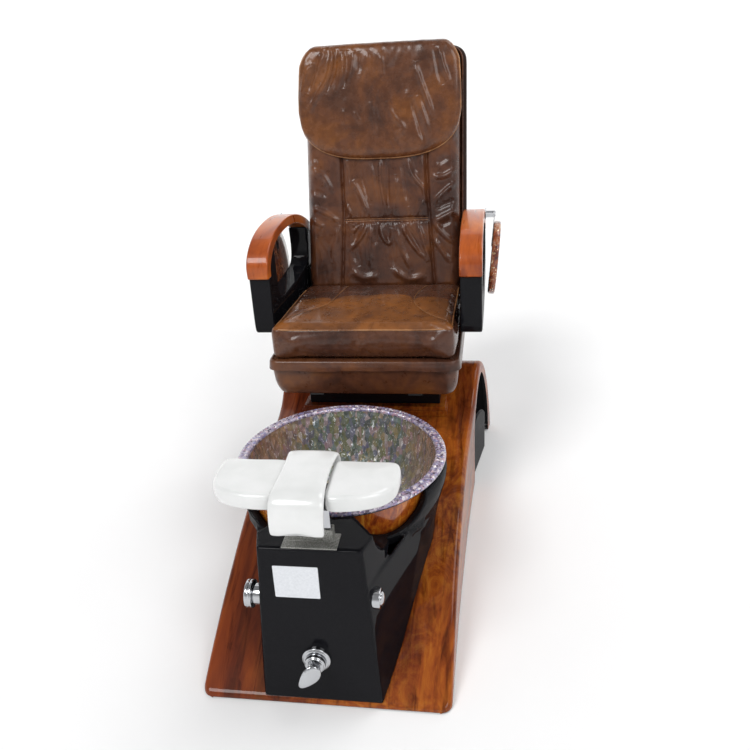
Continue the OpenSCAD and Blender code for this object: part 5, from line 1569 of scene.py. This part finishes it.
    # piping round the free edge
    edge = [idx(i, 0) for i in range(int(ns * 0.20), ns)] + [idx(ns - 1, j) for j in range(1, nx)] + [idx(i, nx - 1) for i in range(ns - 2, int(ns * 0.20) - 1, -1)]
    p = vo[edge]
    for _ in range(8):
        p[1:-1] = 0.5 * p[1:-1] + 0.25 * (p[:-2] + p[2:])
    p = catmull(p[::4], 360)
    # lighter tan piping: real piping, its tan partly a painted edge highlight
    put(tube("head_piping", p, 0.0026, [M["piping"]], 10), "back", slot="leather")


head_flap()

# ---------------------------------------------------------------- camera, light, floor
cam_d = bpy.data.cameras.new("camera")
cam = bpy.data.objects.new("camera", cam_d)
SC.collection.objects.link(cam)
pitch, yaw, roll_ = 0.4374, -0.1721, -0.0674
fwd = Vector((math.sin(yaw) * math.cos(pitch), math.cos(yaw) * math.cos(pitch), -math.sin(pitch)))
right = Vector((math.cos(yaw), -math.sin(yaw), 0))
upv = right.cross(fwd)
r2 = math.cos(roll_) * right + math.sin(roll_) * upv
u2 = -math.sin(roll_) * right + math.cos(roll_) * upv
mw = Matrix.Identity(4)
for i, c in enumerate((r2, u2, -fwd, Vector((0.3951, Y0 - 1.2790, 1.4604)))):
    for k in range(3):
        mw[k][i] = c[k]
cam.matrix_world = mw
cam_d.sensor_width = 36.0
cam_d.lens = 782.2753 * 36.0 / 750.0
cam_d.clip_end = 60
SC.camera = cam

prof_f = [(-30.0, 0.0), (-6.0, 0.0), (0.0, 0.0), (7.0, 0.0)] + [(7.0 + 4.0 * math.sin(a), 4.0 - 4.0 * math.cos(a)) for a in np.linspace(0.08, math.pi / 2, 16)] + [(11.0, 14.0)]
fl = rings_mesh("floor", [[(x, a, b) for x in (-30.0, 30.0)] for a, b in prof_f], [], close_ring=False)
if fl.data.polygons[1].normal.z < 0:
    fl.data.flip_normals()
fm = Mat("floor_white", rough=0.85, color=(0.86, 0.86, 0.86))
fm.color(fm.ramp(fm.noise(1.5, 3.0), [(0.3, (0.90, 0.90, 0.90)), (0.7, (0.92, 0.92, 0.92))]))
fl.data.materials.append(fm.m)

world = bpy.data.worlds.new("studio")
SC.world = world
world.use_nodes = True
bg = world.node_tree.nodes["Background"]
wn = world.node_tree
wc = wn.nodes.new("ShaderNodeTexCoord")
ws = wn.nodes.new("ShaderNodeSeparateXYZ")
wr = wn.nodes.new("ShaderNodeValToRGB")
wn.links.new(wc.outputs["Generated"], ws.inputs[0])
wn.links.new(ws.outputs[2], wr.inputs["Fac"])
wn.links.new(wr.outputs["Color"], bg.inputs["Color"])
while len(wr.color_ramp.elements) < 4:
    wr.color_ramp.elements.new(0.5)
for e, (pp, v) in zip(wr.color_ramp.elements, ((0.0, 0.97), (0.10, 0.95), (0.36, 0.40), (1.0, 0.28))):
    e.position, e.color = pp, (v, v, v * 1.01, 1)
bg.inputs["Strength"].default_value = 1.0


def lamp(name, to, strength, deg, col=(1, 1, 1)):
    L = bpy.data.lights.new(name, "SUN")
    L.energy, L.angle, L.color = strength, math.radians(deg), col
    o = bpy.data.objects.new(name, L)
    SC.collection.objects.link(o)
    o.rotation_mode = "QUATERNION"
    o.rotation_quaternion = (-Vector(to)).to_track_quat("-Z", "Y")
    return o


lamp("key", (-0.42, -0.60, 0.95), 1.30, 24)
lamp("fill", (0.55, -0.62, 0.75), 0.80, 28)
lamp("top", (0.35, 0.25, 0.90), 0.70, 30)
SC.view_settings.view_transform = "Standard"
